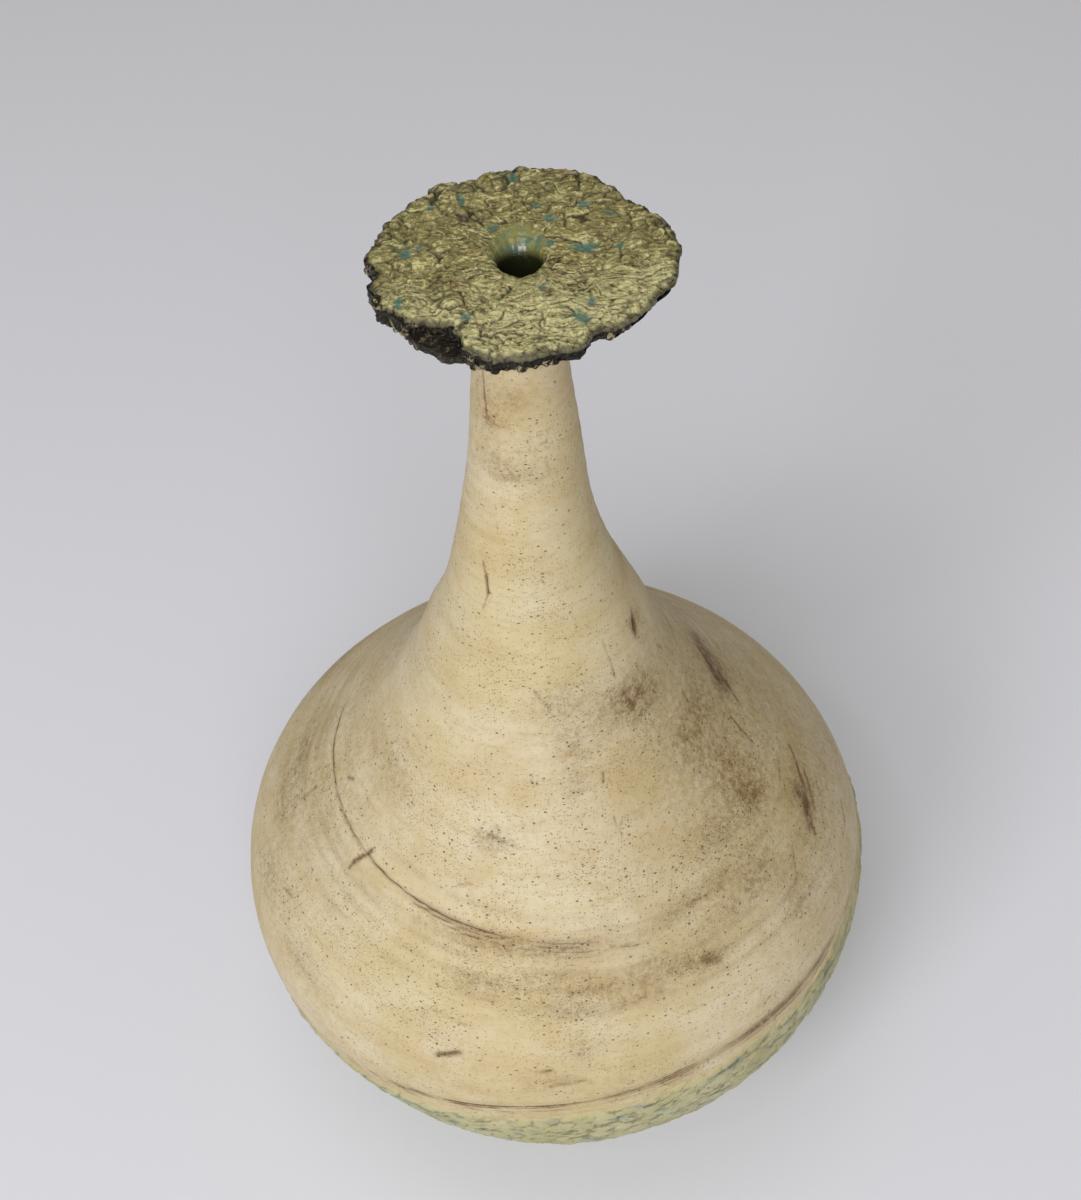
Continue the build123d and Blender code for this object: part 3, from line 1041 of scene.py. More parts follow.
# %% The crackled coat
COAT_CUTS = 16
EDGE_ROLL = (1.0, 1.8)
LIP_ROLL = (0.3, 5)
FLUTE = 0.35
# The hairline crack that starts at the lip: its ends from the disc's middle, its depth, and the
# half widths of its groove and of its dark line, in millimetres
CRACK = ((-2.7, -13.2), (-6.0, -17.4))
CRACK_CUT = 0.8
CRACK_GROOVE = 0.5
CRACK_DARK = 0.45
# From where to where the relief fades in, outwards from the lip in millimetres
MOUTH_FADE = (-4.0, 0.8)


def drawn_out(turn, radius, upper, lip, torn):
    """How far each point of the coat is from the middle, once its lip and its edge are in place."""
    share = (radius - THROAT_RADIUS) / (FUNNEL_RADIUS - THROAT_RADIUS)
    flutes = FLUTE * MM * field(on_circle(turn), 8.0, 77) * np.clip(4 * share * (1 - share), 0, 1)
    flared = THROAT_RADIUS + share * (lip - THROAT_RADIUS) + flutes
    spread = lip + (radius - FUNNEL_RADIUS) / (1 - FUNNEL_RADIUS) * (torn - lip)
    return np.where(radius > FUNNEL_RADIUS + SAME, spread, np.where(upper, flared, radius))


def crackled_coat():
    """The glaze on top of the disc: crumpled, dipping into the mouth and lining the throat."""
    mesh = spun("crackled_coat", coat_section(), COAT_CUTS)
    points = places(mesh)
    turn, radius = polar(points)
    upper = points[:, 2] > glaze_top_z - FUNNEL_DEPTH
    lip = lip_reach(turn)
    torn = coat_edge(turn) + tears(turn)
    drawn = drawn_out(turn, radius, upper, lip, torn)
    points = from_polar(turn, drawn, points[:, 2], RIM_CENTRE)
    crumpled = upper & (points[:, 2] > glaze_bottom_z)
    relief, bright, crack = top_relief(points)
    crack_ends = [np.array((RIM_CENTRE + x * MM, y * MM, 0)) for x, y in CRACK]
    hair = from_segment(points * FLAT, *crack_ends)
    crack = np.clip(crack + dent(hair, CRACK_DARK), 0, 1)
    from_edge = (torn - drawn) / MM
    from_lip = (drawn - lip) / MM
    back = ramp(np.sin(turn), -0.4, 0.3)
    calm = ramp(from_lip + 1.8 * (1 - back), *MOUTH_FADE)
    lift = (relief - CRACK_CUT * dent(hair, CRACK_GROOVE)) * calm + 0.12 * field(points, 3.0, 73) * (1 - calm)
    for (drop, width), away in ((EDGE_ROLL, from_edge), (LIP_ROLL, from_lip)):
        lift = lift - drop * (1 - ramp(away, 0, width))
    pools = pool_mask(points)
    lift = lift * (1 - 0.5 * pools) - POOL_DEPTH * pools
    points[:, 2] += np.where(crumpled, lift * MM, 0)
    put(mesh, points)
    sunk = (glaze_top_z - points[:, 2]) / MM
    runs = field(on_circle(turn), 12.0, 75) + 0.6 * field(points, 2.0, 76)
    streak = ramp(runs, 0.0, 0.35) * dent(sunk - 2.0, 1.2) * back
    toward_light = (0.1 * points[:, 0] - points[:, 1]) / MM
    keep_masks(
        mesh,
        crack=crack * calm,
        pool=np.where(upper, np.maximum(pools, 0.6 * streak * (1 - calm)), 0),
        ridge=bright * calm + 0.5 * (1 - calm),
        throat=1 - ramp(from_lip + 2.0 * (1 - back), *MOUTH_FADE),
        # painted shade: deep grows down the throat, where the hole is in shade
        deep=ramp(sunk, 1.4, 5.4),
        # painted light: pale is high on the side of the disc towards the lamps, with a slow random drift
        pale=ramp(toward_light + 8 * field(points, 18.0, 87), 0, 26),
        edge=1 - ramp(from_edge + 0.8 * field(points, 3.0, 88), 0.3, 1.7),
    )
    return finished(mesh, "rim_glaze", "rim_glaze")


crackled = crackled_coat()

# %% The torn slab
SLAB_CUTS = 12
TOP_SLAB_ROWS = 20
SIDE_SLAB_ROWS = 9
UNDER_SLAB_ROWS = 24
COLLAR_RADIUS = 17.0 * MM
DIP_RADIUS = 14.5 * MM
HOLE_MARGIN = 1.6 * MM
SLAB_SINK = 1.6 * MM
SIDE_INSET = 0.8 * MM
UNDERCUT = 2.6 * MM
LEDGE_DROP = 2.2 * MM
LEDGE_COVER = 0.4 * MM
LEDGE_SPARE = 1.5 * MM
# Radii from this mark to 1 stand for the way from the collar to the torn edge
COLLAR_MARK = 0.5
# Roughness below: size and height in millimetres, and seed
SLAB_LUMPS = ((6.0, 0.35, 83), (1.8, 0.15, 89))
SOCKET_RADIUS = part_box("rim_slip")[1].y
socket_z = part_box("rim_slip")[1].z
slab_top_z = glaze_bottom_z - SLAB_SINK


def slab_section():
    """From the hole out under the glaze, down the torn edge and back below."""
    section = [(THROAT_RADIUS + HOLE_MARGIN, socket_z), (DIP_RADIUS, slab_top_z - SLAB_SINK)]
    section += [(radius, slab_top_z) for radius in np.linspace(COLLAR_MARK, 1.0, TOP_SLAB_ROWS)]
    section += [(1.0, z) for z in np.linspace(slab_top_z, edge_low_z, SIDE_SLAB_ROWS)[1:]]
    section += [(radius, edge_low_z) for radius in np.linspace(1.0, COLLAR_MARK, UNDER_SLAB_ROWS)[1:]]
    section += [(COLLAR_RADIUS, disc_under_z), (SOCKET_RADIUS, disc_under_z), (SOCKET_RADIUS, socket_z)]
    return section


def torn_slab():
    """The clay of the disc, rough below and dark towards its torn edge."""
    mesh = spun("torn_slab", slab_section(), SLAB_CUTS)
    points = places(mesh)
    turn, radius = polar(points)
    torn = around(edge_outline, turn) - SIDE_INSET - UNDERCUT * (1 - side_share(turn, THICK_EDGE))
    outer = radius > COLLAR_MARK / 2
    way = (radius - COLLAR_MARK) / (1 - COLLAR_MARK)
    drawn = np.where(outer, COLLAR_RADIUS + way * (torn - COLLAR_RADIUS), radius)
    share = np.clip((drawn - COLLAR_RADIUS) / (torn - COLLAR_RADIUS), 0, 1)
    below = outer & (points[:, 2] < edge_low_z + 0.1 * MM)
    level = (points[:, 2] - edge_low_z) / (slab_top_z - edge_low_z)
    sink = bitten(turn, drawn + LEDGE_SPARE) * (LEDGE_DROP - LEDGE_COVER)
    flat_z = edge_low_z + level * (slab_top_z - sink - edge_low_z)
    sloped_z = disc_under_z + share * (edge_low_z - disc_under_z)
    height = np.where(below, sloped_z, np.where(outer, flat_z, points[:, 2]))
    points = from_polar(turn, drawn, height, RIM_CENTRE)
    put(mesh, points)
    rough = summed(points, SLAB_LUMPS)
    weight = np.where(below, ramp(drawn, COLLAR_RADIUS, COLLAR_RADIUS + 8 * MM), 0)
    put(mesh, points + facing(mesh) * (rough * weight * MM)[:, None])
    keep_masks(mesh, edge=np.where(outer, ramp(share, 0.70, 0.96), 0))
    return finished(mesh, "rim_clay", "rim_disc", corner=WALL_CORNER)


slab = torn_slab()

# %% The dark torn edge
EDGE_CUTS = 24
LEDGE_ROWS = 18
EDGE_SIDE_ROWS = 24
EDGE_LAP_ROWS = 7
EDGE_LAP = 3.0 * MM
EDGE_UNDER_COAT = 1.9 * MM
EDGE_STANDS_OUT = 0.4 * MM
EDGE_ABOVE_SLAB = 0.1 * MM
EDGE_BELOW_SLAB = 0.25 * MM
# This radius stands for the inner edge of the ledge, and 1 more for the outer edge
INNER_MARK = 2.0
LAP_END = -0.6
CRUMB_SIZE = 3.0
CRUMB_STRETCH = (1, 1, 1.35)


def edge_section():
    """A ledge, a side and a lap below, with heights from 0 to 1."""
    section = [(INNER_MARK + share, 1.0) for share in np.linspace(0.0, 1.0, LEDGE_ROWS)]
    section += [(INNER_MARK + 1, level) for level in np.linspace(1.0, 0.0, EDGE_SIDE_ROWS)[1:]]
    section += [(INNER_MARK + share, 0.0) for share in np.linspace(1.0, LAP_END, EDGE_LAP_ROWS)[1:]]
    return section


def torn_edge():
    """The dark glaze round the edge, crumbled along its side."""
    mesh = spun("torn_edge", edge_section(), EDGE_CUTS)
    points = places(mesh)
    turn, radius = polar(points)
    share = radius - INNER_MARK
    level = points[:, 2].copy()
    inner = coat_edge(turn) - EDGE_UNDER_COAT
    undercut = UNDERCUT * (1 - side_share(turn, THICK_EDGE)) * (1 - level)
    outer = around(edge_outline, turn) + tears(turn) + EDGE_STANDS_OUT - undercut
    drawn = np.where(share >= 0, inner + share * (outer - inner), inner + share * EDGE_LAP)
    ledge = bitten(turn, drawn)
    top = glaze_bottom_z + EDGE_ABOVE_SLAB - ledge * LEDGE_DROP
    bottom = edge_low_z - EDGE_BELOW_SLAB
    points = from_polar(turn, drawn, bottom + level * (top - bottom), RIM_CENTRE)
    put(mesh, points)
    near, second, label = cells(points, CRUMB_SIZE, 5, CRUMB_STRETCH)
    gap = ramp(second - near, 0.0, 0.25)
    crumbs = 0.9 * (label - 0.5) * gap - 0.5 * (1 - gap) + 0.35 * field(points, 1.5, 101)
    weight = ramp(share, 0.10, 0.7) * (1 - 0.4 * ledge)
    put(mesh, points + facing(mesh) * (crumbs * weight * MM)[:, None])
    pale = ramp(label + 0.5 * field(points, 2.0, 107) + 0.35 * (1 - level) - 0.15, 0.62, 0.88)
    keep_masks(mesh, fleck=pale * (1 - 0.7 * ledge), ledge=np.where(level > 0.9, ledge, 0))
    return finished(mesh, "edge_glaze", "edge_glaze")


dark_edge = torn_edge()

# %% [markdown]
# ## The rough coat
# Below the turned lines the body carries a rough coat that stands a little proud. Its upper
# edge slopes and is ragged. The section is spun as plain rows, and each row is then laid on
# the wall between the foot and the edge at that angle, so the rows follow the slope.

# %% The rough coat
CRUST_CUTS = 14
CRUST_ROWS = 120
CRUST_BACK_ROWS = 16
CRUST_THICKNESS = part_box("base_crust")[1].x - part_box("base_bowl")[1].x
CRUST_SINK = 1.2
CRUST_LIFT = 0.1
CRUST_TILT = 0.119
CRUST_DROP = 2.0
RIGHT_DROP = 1.8
# The ragged edge, and lumps as shares of the thickness: size in millimetres, height and seed
RAGGED_EDGE = ((14.0, 1.8, 109), (4.0, 1.2, 113))
LUMPS = ((2.4, 0.5, 127), (14.0, 0.3, 131))
# Radii that stand for the skin of the coat and for its back in the wall
SKIN_MARK = 2.0
BACK_MARK = 1.0
SCALE_SIZE = 5.4
SCALE_STRETCH = (0.8, 0.8, 1.7)
crust_middle_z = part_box("base_crust")[1].z - CRUST_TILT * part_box("base_crust")[1].x


def crust_edge(turn):
    """The height of the coat's upper edge at each angle: it slopes and is ragged."""
    circle = on_circle(turn) / DISC_RADIUS * wall_radius.max()
    ragged = summed(circle, RAGGED_EDGE) - CRUST_DROP
    ragged -= RIGHT_DROP * ramp(np.cos(turn), 0.0, 0.8)
    return crust_middle_z + CRUST_TILT * circle[:, 0] + ragged * MM


def rough_coat():
    """Rows from the foot up to the edge, pushed out into scaly lumps; the inner rows lie in the wall."""
    section = [(SKIN_MARK, share) for share in np.linspace(0, 1, CRUST_ROWS)]
    section += [(BACK_MARK, share) for share in np.linspace(1, 0, CRUST_BACK_ROWS)]
    mesh = spun("rough_coat", section, CRUST_CUTS)
    points = places(mesh)
    turn, radius = polar(points)
    skin = radius > (SKIN_MARK + BACK_MARK) / 2
    share = points[:, 2].copy()
    length = share * np.interp(crust_edge(turn), wall_z, wall_length)
    height = np.interp(length, wall_length, wall_z)
    points = from_polar(turn, np.interp(height, wall_z, wall_radius), height)
    depth = wall_marks(points)[0]
    near, second, label = cells(points, SCALE_SIZE, 3, SCALE_STRETCH)
    scale = ramp(second - near, 0.0, 0.3)
    lumps = 0.55 * scale + 0.6 * (label - 0.5) + summed(points, LUMPS)
    feather = 1 - 0.85 * ramp(share, 0.96, 1.0)
    proud = CRUST_THICKNESS / MM * (0.45 + 0.65 * lumps) * feather + CRUST_LIFT
    thick = np.where(skin, proud - depth, -CRUST_SINK - depth)
    put(mesh, points + outward(points) * (thick * MM)[:, None])
    hollow_share = np.clip(1 - scale + 0.3 * (0.5 - label), 0, 1)
    keep_masks(mesh, hollow=hollow_share, edge=ramp(share, 0.965, 1.0))
    return finished(mesh, "base_crust", "base_crust")


rough = rough_coat()

# %% [markdown]
# ## Node helpers and shared effects
# A material is a small graph. A few helpers keep the wiring short. Two effects are used by
# several finishes, so each is a node group with named inputs: the dark pits that coarse
# grog leaves in the clay, and the slow drift of colour that a kiln leaves on everything.
# Copies of the same nodes in each material would work too, but a group is mended only once.

# %% Node helpers
def feed(tree, socket, given):
    """Links a socket to another one, or gives it a value."""
    if isinstance(given, bpy.types.NodeSocket):
        tree.links.new(given, socket)
    else:
        socket.default_value = given


def node(tree, kind, values=None, **settings):
    """A new node with settings and socket values."""
    made = tree.nodes.new(kind)
    for key, value in settings.items():
        setattr(made, key, value)
    for key, value in (values or {}).items():
        feed(tree, made.inputs[key], value)
    return made


# The sockets of a colour mix go by number: share, first and second colour, and the result
MIX_INPUTS = (0, 6, 7)
MIX_RESULT = 2


def blend(tree, share, first, second):
    """A colour mix; share, first and second are sockets or values. Returns its output."""
    made = node(tree, "ShaderNodeMix", data_type="RGBA")
    for number, given in zip(MIX_INPUTS, (share, first, second)):
        feed(tree, made.inputs[number], given)
    return made.outputs[MIX_RESULT]


def figure(tree, operation, *given):
    """A math node; what is given are sockets or numbers. Returns its output."""
    made = node(tree, "ShaderNodeMath", operation=operation)
    for socket, value in zip(made.inputs, given):
        feed(tree, socket, value)
    return made.outputs[0]


def times(tree, first, second):
    """Two values multiplied."""
    return figure(tree, "MULTIPLY", first, second)


def lay(tree, colour, over, share, strength):
    """A colour with another one laid over it where a share shows it, at a strength."""
    return blend(tree, times(tree, share, strength), colour, over)


print("node helpers ready")

# %% Textures, masks and bumps
def between(tree, value, low, high, to_low=0.0, to_high=1.0):
    """A smooth rise from to_low to to_high while a value goes from low to high."""
    limits = {"Value": value, "From Min": low, "From Max": high, "To Min": to_low, "To Max": to_high}
    return node(tree, "ShaderNodeMapRange", limits, interpolation_type="SMOOTHSTEP").outputs["Result"]


def mottle(tree, vector, scale, detail=3.0, rough=0.5):
    """Noise with a number of lumps per metre."""
    values = {"Vector": vector, "Scale": scale, "Detail": detail, "Roughness": rough}
    return node(tree, "ShaderNodeTexNoise", values).outputs["Fac"]


def stretched(tree, vector, scale):
    """Places that are scaled by different amounts along X, Y and Z."""
    return node(tree, "ShaderNodeMapping", {"Vector": vector, "Scale": scale}).outputs["Vector"]


def mask(tree, name):
    """The numbers that a mesh keeps under a name."""
    return node(tree, "ShaderNodeAttribute", attribute_name=name).outputs["Fac"]


def bump(tree, height, distance, strength, under=None):
    """Relief too fine for the mesh, with a distance in metres, on top of other relief."""
    values = {"Strength": strength, "Distance": distance, "Height": height}
    if under is not None:
        values["Normal"] = under
    return node(tree, "ShaderNodeBump", values).outputs["Normal"]


print("textures, masks and bumps ready")

# %% Groups and materials
def new_group(name, inputs, outputs):
    """A node group with named inputs and outputs. Returns it with the sockets inside it."""
    group = bpy.data.node_groups.new(name, "ShaderNodeTree")
    for label, kind, value in inputs:
        socket = group.interface.new_socket(label, in_out="INPUT", socket_type=kind)
        if value is not None:
            socket.default_value = value
    for label, kind in outputs:
        group.interface.new_socket(label, in_out="OUTPUT", socket_type=kind)
    return group, group.nodes.new("NodeGroupInput").outputs, group.nodes.new("NodeGroupOutput").inputs


def use_group(tree, group, **values):
    """Places a group in a material with its own values. Returns its outputs."""
    made = tree.nodes.new("ShaderNodeGroup")
    made.node_tree = group
    for key, value in values.items():
        feed(tree, made.inputs[key], value)
    return made.outputs


def new_material(name):
    """A material, its node tree, and the place of each point of the surface."""
    material = bpy.data.materials.new(name)
    material.use_nodes = True
    place = node(material.node_tree, "ShaderNodeTexCoord").outputs["Object"]
    return material, material.node_tree, place


def dressed(material, values):
    """The material, with its shader's inputs linked or set by name."""
    tree = material.node_tree
    for key, value in values.items():
        feed(tree, tree.nodes["Principled BSDF"].inputs[key], value)
    return material


print("groups and materials ready")

# %% Grog pits
pits_group, pits_in, pits_out = new_group(
    "grog_pits",
    [
        ("Vector", "NodeSocketVector", None),
        ("Stretch", "NodeSocketVector", (1.0, 1.0, 1.9)),
        ("Spacing", "NodeSocketFloat", 480.0),
        ("Width", "NodeSocketFloat", 0.30),
        ("Share", "NodeSocketFloat", 0.45),
    ],
    [("Pits", "NodeSocketFloat")],
)
# Textures here and below: lumps per metre, detail and roughness
CROWDING = (42.0, 3.0, 0.6)
tree = pits_group
flattened = stretched(tree, pits_in["Vector"], pits_in["Stretch"])
grains = node(tree, "ShaderNodeTexVoronoi", {"Vector": flattened, "Scale": pits_in["Spacing"]})
apart = node(tree, "ShaderNodeSeparateColor", {"Color": grains.outputs["Color"]})
crowd = between(tree, mottle(tree, pits_in["Vector"], *CROWDING), 0.34, 0.68, 0.12, 1.0)
chosen = figure(tree, "LESS_THAN", apart.outputs[0], times(tree, pits_in["Share"], crowd))
size = times(tree, pits_in["Width"], between(tree, apart.outputs[1], 0.0, 1.0, 0.4, 1.0))
edge = figure(tree, "SUBTRACT", 1.0, figure(tree, "DIVIDE", grains.outputs["Distance"], size))
feed(tree, pits_out["Pits"], times(tree, chosen, between(tree, edge, 0.0, 0.6)))
print("group", pits_group.name)

# %% Kiln drift
drift_group, drift_in, drift_out = new_group(
    "kiln_drift",
    [("Vector", "NodeSocketVector", None), ("Size", "NodeSocketFloat", 16.0)],
    [("Wash", "NodeSocketFloat"), ("Bands", "NodeSocketFloat"), ("Cloud", "NodeSocketFloat")],
)
BANDING = (85.0, 5.0, 0.6)
BAND_STRETCH = (0.16, 0.16, 1.0)
CLOUDS = (60.0, 5.0, 0.65)
tree = drift_group
slow_values = {"Detail": 4.0, "Roughness": 0.62, "Distortion": 0.4}
slow_values.update({"Vector": drift_in["Vector"], "Scale": drift_in["Size"]})
slow = node(tree, "ShaderNodeTexNoise", slow_values).outputs["Fac"]
layered = mottle(tree, stretched(tree, drift_in["Vector"], BAND_STRETCH), *BANDING)
cloud = mottle(tree, drift_in["Vector"], *CLOUDS)
feed(tree, drift_out["Wash"], between(tree, slow, 0.30, 0.72))
feed(tree, drift_out["Bands"], between(tree, layered, 0.42, 0.72))
feed(tree, drift_out["Cloud"], between(tree, cloud, 0.34, 0.70))
print("group", drift_group.name)

# %% [markdown]
# ## Cream clay
# The body is unglazed stoneware: pale cream where it is clean, tan in slow washes, brown
# where stain sits in the rings, the turned lines and the scratches, and peppered with
# dark pits. It is quite dry, so roughness stays high. A painted picture could carry all of
# that, but it has to be unwrapped and goes soft from close by. Layers of noise with a real
# size stay sharp, and the masks that the cuts left say exactly where the brown belongs.

# %% Fine strokes
STROKE_WANDER = (260.0, 3.0, 0.6)
STROKE_GAPS = (130.0, 3.0, 0.6)
GAP_STRETCH = (0.4, 0.4, 1.0)
# Fine strokes along the two long lines: distance above the line and half width in millimetres
STROKES = {
    "spiral": ((0.0, 0.32), (-1.3, 0.20), (-2.6, 0.24), (-3.9, 0.18)),
    "turned": ((0.0, 0.34), (1.0, 0.30), (-1.0, 0.28), (1.7, 0.16), (-2.6, 0.25)),
}


def fine_strokes(tree, place):
    """Sharp dark strokes where the long lines show, with gaps in them."""
    wander = figure(tree, "MULTIPLY_ADD", mottle(tree, place, *STROKE_WANDER), 0.8, -0.4)
    drawn = 0.0
    for line_name, strokes in STROKES.items():
        course = figure(tree, "ADD", mask(tree, line_name), wander)
        for above, half_width in strokes:
            away = figure(tree, "ABSOLUTE", figure(tree, "SUBTRACT", course, above))
            stroke = between(tree, away, 0.4 * half_width, half_width, 1.0, 0.0)
            drawn = figure(tree, "MAXIMUM", drawn, stroke)
    gaps = between(tree, mottle(tree, stretched(tree, place, GAP_STRETCH), *STROKE_GAPS), 0.36, 0.56)
    shows = times(tree, gaps, between(tree, mask(tree, "line"), 0.08, 0.40))
    return times(tree, drawn, shows)


print("strokes", sum(len(strokes) for strokes in STROKES.values()))

# %% Cream clay
PALE = (0.725, 0.630, 0.440, 1)
CREAM = (0.630, 0.518, 0.272, 1)
TAN = (0.50, 0.352, 0.136, 1)
STAIN = (0.245, 0.145, 0.050, 1)
LINE = (0.150, 0.072, 0.030, 1)
PIT = (0.085, 0.05, 0.022, 1)
FINE_MOTTLE = (420.0, 4.0, 0.7)
COMBING = (520.0, 3.0, 0.6)
COMB_STRETCH = (0.10, 0.10, 1.0)
PATCHES = (420.0, 6.0, 0.85)
WEAR = (520.0, 3.0, 0.6)
CLAY_GRAIN = (1100.0, 3.0, 0.6)
# The sizes of pit: cells per metre, flatness, width as a share of a cell, share of cells, darkness
PIT_SIZES = (
    (1150.0, 2.8, 0.44, 0.80, 0.52),
    (520.0, 1.9, 0.31, 0.52, 0.76),
    (150.0, 1.4, 0.090, 0.50, 0.85),
)


def clay(name, cream, marked):
    """Bare stoneware; marked clay also reads the masks of its lines and stains."""
    material, tree, place = new_material(name)
    drift = use_group(tree, drift_group, Vector=place, Size=15.0)
    fine = mottle(tree, place, *FINE_MOTTLE)
    combed = mottle(tree, stretched(tree, place, COMB_STRETCH), *COMBING)
    colour = lay(tree, PALE, cream, drift["Wash"], 0.8)
    colour = lay(tree, colour, TAN, drift["Cloud"], 0.36)
    colour = lay(tree, colour, TAN, drift["Bands"], 0.34)
    colour = blend(tree, between(tree, fine, 0.45, 0.75, 0.0, 0.30), colour, TAN)
    colour = blend(tree, between(tree, combed, 0.50, 0.72, 0.0, 0.28), colour, TAN)
    crowding = 0.0
    if marked:
        crowding = mask(tree, "stain")
        patchy = between(tree, mottle(tree, place, *PATCHES), 0.40, 0.60)
        haze = figure(tree, "MULTIPLY_ADD", patchy, 0.70, 0.30)
        colour = lay(tree, colour, STAIN, crowding, haze)
        worn = between(tree, mottle(tree, place, *WEAR), 0.25, 0.55, 0.45, 1.0)
        colour = lay(tree, colour, LINE, mask(tree, "line"), worn)
        colour = lay(tree, colour, LINE, fine_strokes(tree, place), 0.85)
    depth = 0.0
    for spacing, flatness, width, share, darkness in PIT_SIZES:
        values = {"Stretch": (1.0, 1.0, flatness), "Spacing": spacing, "Width": width}
        values["Share"] = figure(tree, "MULTIPLY_ADD", crowding, 0.8, share)
        pits = use_group(tree, pits_group, Vector=place, **values)["Pits"]
        dark = times(tree, pits, darkness)
        colour = blend(tree, dark, colour, PIT)
        depth = figure(tree, "MAXIMUM", depth, dark)
    grain = bump(tree, mottle(tree, place, *CLAY_GRAIN), 0.4 * MM, 0.25)
    combing = bump(tree, combed, 0.6 * MM, 0.22, grain)
    hollowed = figure(tree, "SUBTRACT", 1.0, depth)
    return dressed(material, {
        "Base Color": colour,
        "Roughness": between(tree, fine, 0.3, 0.7, 0.48, 0.72),
        "Specular IOR Level": 0.3,
        "Normal": bump(tree, hollowed, 0.8 * MM, 0.6, combing),
    })


body_clay = clay("cream_clay", CREAM, True)
slip_clay = clay("slip_clay", PALE, False)
foot_clay = clay("foot_clay", TAN, False)
for piece in (thrown_bowl, thrown_dome, thrown_neck):
    piece.data.materials.append(body_clay)
print("clay", [m.name for m in (body_clay, slip_clay, foot_clay)])

# %% [markdown]
# ## Crackled olive glaze
# The glaze broke into plates as it dried and shrank: the slopes are olive, and the ridges are
# dull gold, partly painted highlight on the lips of the flakes and the crinkles. The cracks are
# nearly black, with painted shade added at the feet of the flakes and in the creases. Turquoise
# copper pooled in a few hollows, and in the mouth the same glaze is thick, smooth, glossy and
# yellow-green, darkened down the throat by painted shade. Noise alone would put gold in the
# cracks, because it knows nothing of the plates. So the material reads the masks of the relief,
# and a clear coat lies only where the glaze is wet.

# %% Colours of the crackled top
OLIVE = (0.300, 0.248, 0.085, 1)
# Gold for the glaze's brighter spots, and painted highlight on the lips of the flakes and the crinkle ridges
GOLD_AND_HIGHLIGHT = (0.70, 0.63, 0.28, 1)
# Straw is painted light for the side of the disc towards the lamps
LIT_SIDE_STRAW = (0.70, 0.65, 0.32, 1)
UMBER = (0.075, 0.055, 0.018, 1)
CREVICE = (0.018, 0.013, 0.006, 1)
LEAF = (0.170, 0.195, 0.065, 1)
RUSSET = (0.300, 0.185, 0.070, 1)
WARM_PATCHES = (150.0, 4.0, 0.6)


def top_colour(tree, place, high):
    """Dark cracks with painted shade in the creases, olive slopes, gold ridges partly painted as highlights,
    leaf green and russet drifts, and straw as painted light on the side towards the lamps.
    """
    drift = use_group(tree, drift_group, Vector=place, Size=38.0)
    pits = use_group(tree, pits_group, Vector=place, Spacing=760.0, Width=0.34, Share=0.5)["Pits"]
    colour = blend(tree, between(tree, high, 0.08, 0.38), UMBER, OLIVE)
    # gold where the brightness is high; on the lips and crinkle ridges that is painted highlight
    colour = blend(tree, between(tree, high, 0.50, 0.86), colour, GOLD_AND_HIGHLIGHT)
    colour = lay(tree, colour, LEAF, drift["Wash"], 0.25)
    # painted light: straw laid over the side towards the lamps, most on the brighter spots
    colour = lay(tree, colour, LIT_SIDE_STRAW, mask(tree, "pale"), between(tree, high, 0.15, 0.6, 0.0, 0.8))
    warm = between(tree, mottle(tree, place, *WARM_PATCHES), 0.58, 0.72, 0.0, 0.5)
    colour = blend(tree, warm, colour, RUSSET)
    # darker in the cracks, and painted shade at the feet of the flakes and in the creases
    colour = lay(tree, colour, CREVICE, mask(tree, "crack"), 0.9)
    return lay(tree, colour, CREVICE, pits, 0.7)


print("colours of the top ready")

# %% Crackled olive glaze
TURQUOISE = (0.066, 0.166, 0.125, 1)
LIME = (0.27, 0.245, 0.045, 1)
# Painted shade for the throat, which is dark because little light reaches down the hole
THROAT_SHADE = (0.018, 0.020, 0.007, 1)
GLAZE_BREAKS = (800.0, 4.0, 0.75)
BREAK_SQUASH = (0.75, 1.1, 1.0)
GLAZE_RUNS = (420.0, 4.0, 0.6)
RUN_STRETCH = (1.0, 1.0, 0.25)
GLAZE_GRAIN = (1500.0, 3.0, 0.6)


def olive_glaze():
    """The crumpled top, its turquoise pools, and the glossy mouth."""
    material, tree, place = new_material("olive_glaze")
    break_up = mottle(tree, stretched(tree, place, BREAK_SQUASH), *GLAZE_BREAKS)
    grain = between(tree, break_up, 0.36, 0.64, 0.0, 0.32)
    ridge = mask(tree, "ridge")
    colour = top_colour(tree, place, figure(tree, "MULTIPLY_ADD", ridge, 0.72, grain))
    throat = mask(tree, "throat")
    runs = between(tree, mottle(tree, stretched(tree, place, RUN_STRETCH), *GLAZE_RUNS), 0.42, 0.62)
    colour = lay(tree, colour, blend(tree, runs, LEAF, LIME), throat, 0.85)
    pool = mask(tree, "pool")
    colour = lay(tree, colour, TURQUOISE, pool, between(tree, break_up, 0.25, 0.5, 0.5, 0.95))
    # painted shade: near black down the throat
    colour = blend(tree, mask(tree, "deep"), colour, THROAT_SHADE)
    colour = lay(tree, colour, CREVICE, mask(tree, "edge"), 0.75)
    dull = between(tree, break_up, 0.3, 0.7, 0.22, 0.42)
    dull = figure(tree, "MULTIPLY_ADD", ridge, -0.12, dull)
    wet = figure(tree, "MAXIMUM", throat, times(tree, pool, 0.45))
    calm = figure(tree, "MULTIPLY_ADD", wet, -0.6, 1.0)
    fine = bump(tree, times(tree, mottle(tree, place, *GLAZE_GRAIN), calm), 0.6 * MM, 0.7)
    return dressed(material, {
        "Base Color": colour,
        "Roughness": figure(tree, "MULTIPLY_ADD", wet, -0.15, dull),
        "Coat Weight": times(tree, wet, 0.9),
        "Coat Roughness": 0.06,
        "Normal": bump(tree, times(tree, break_up, calm), 0.9 * MM, 0.7, fine),
    })


crackled.data.materials.append(olive_glaze())
print("olive glaze on", crackled.name)

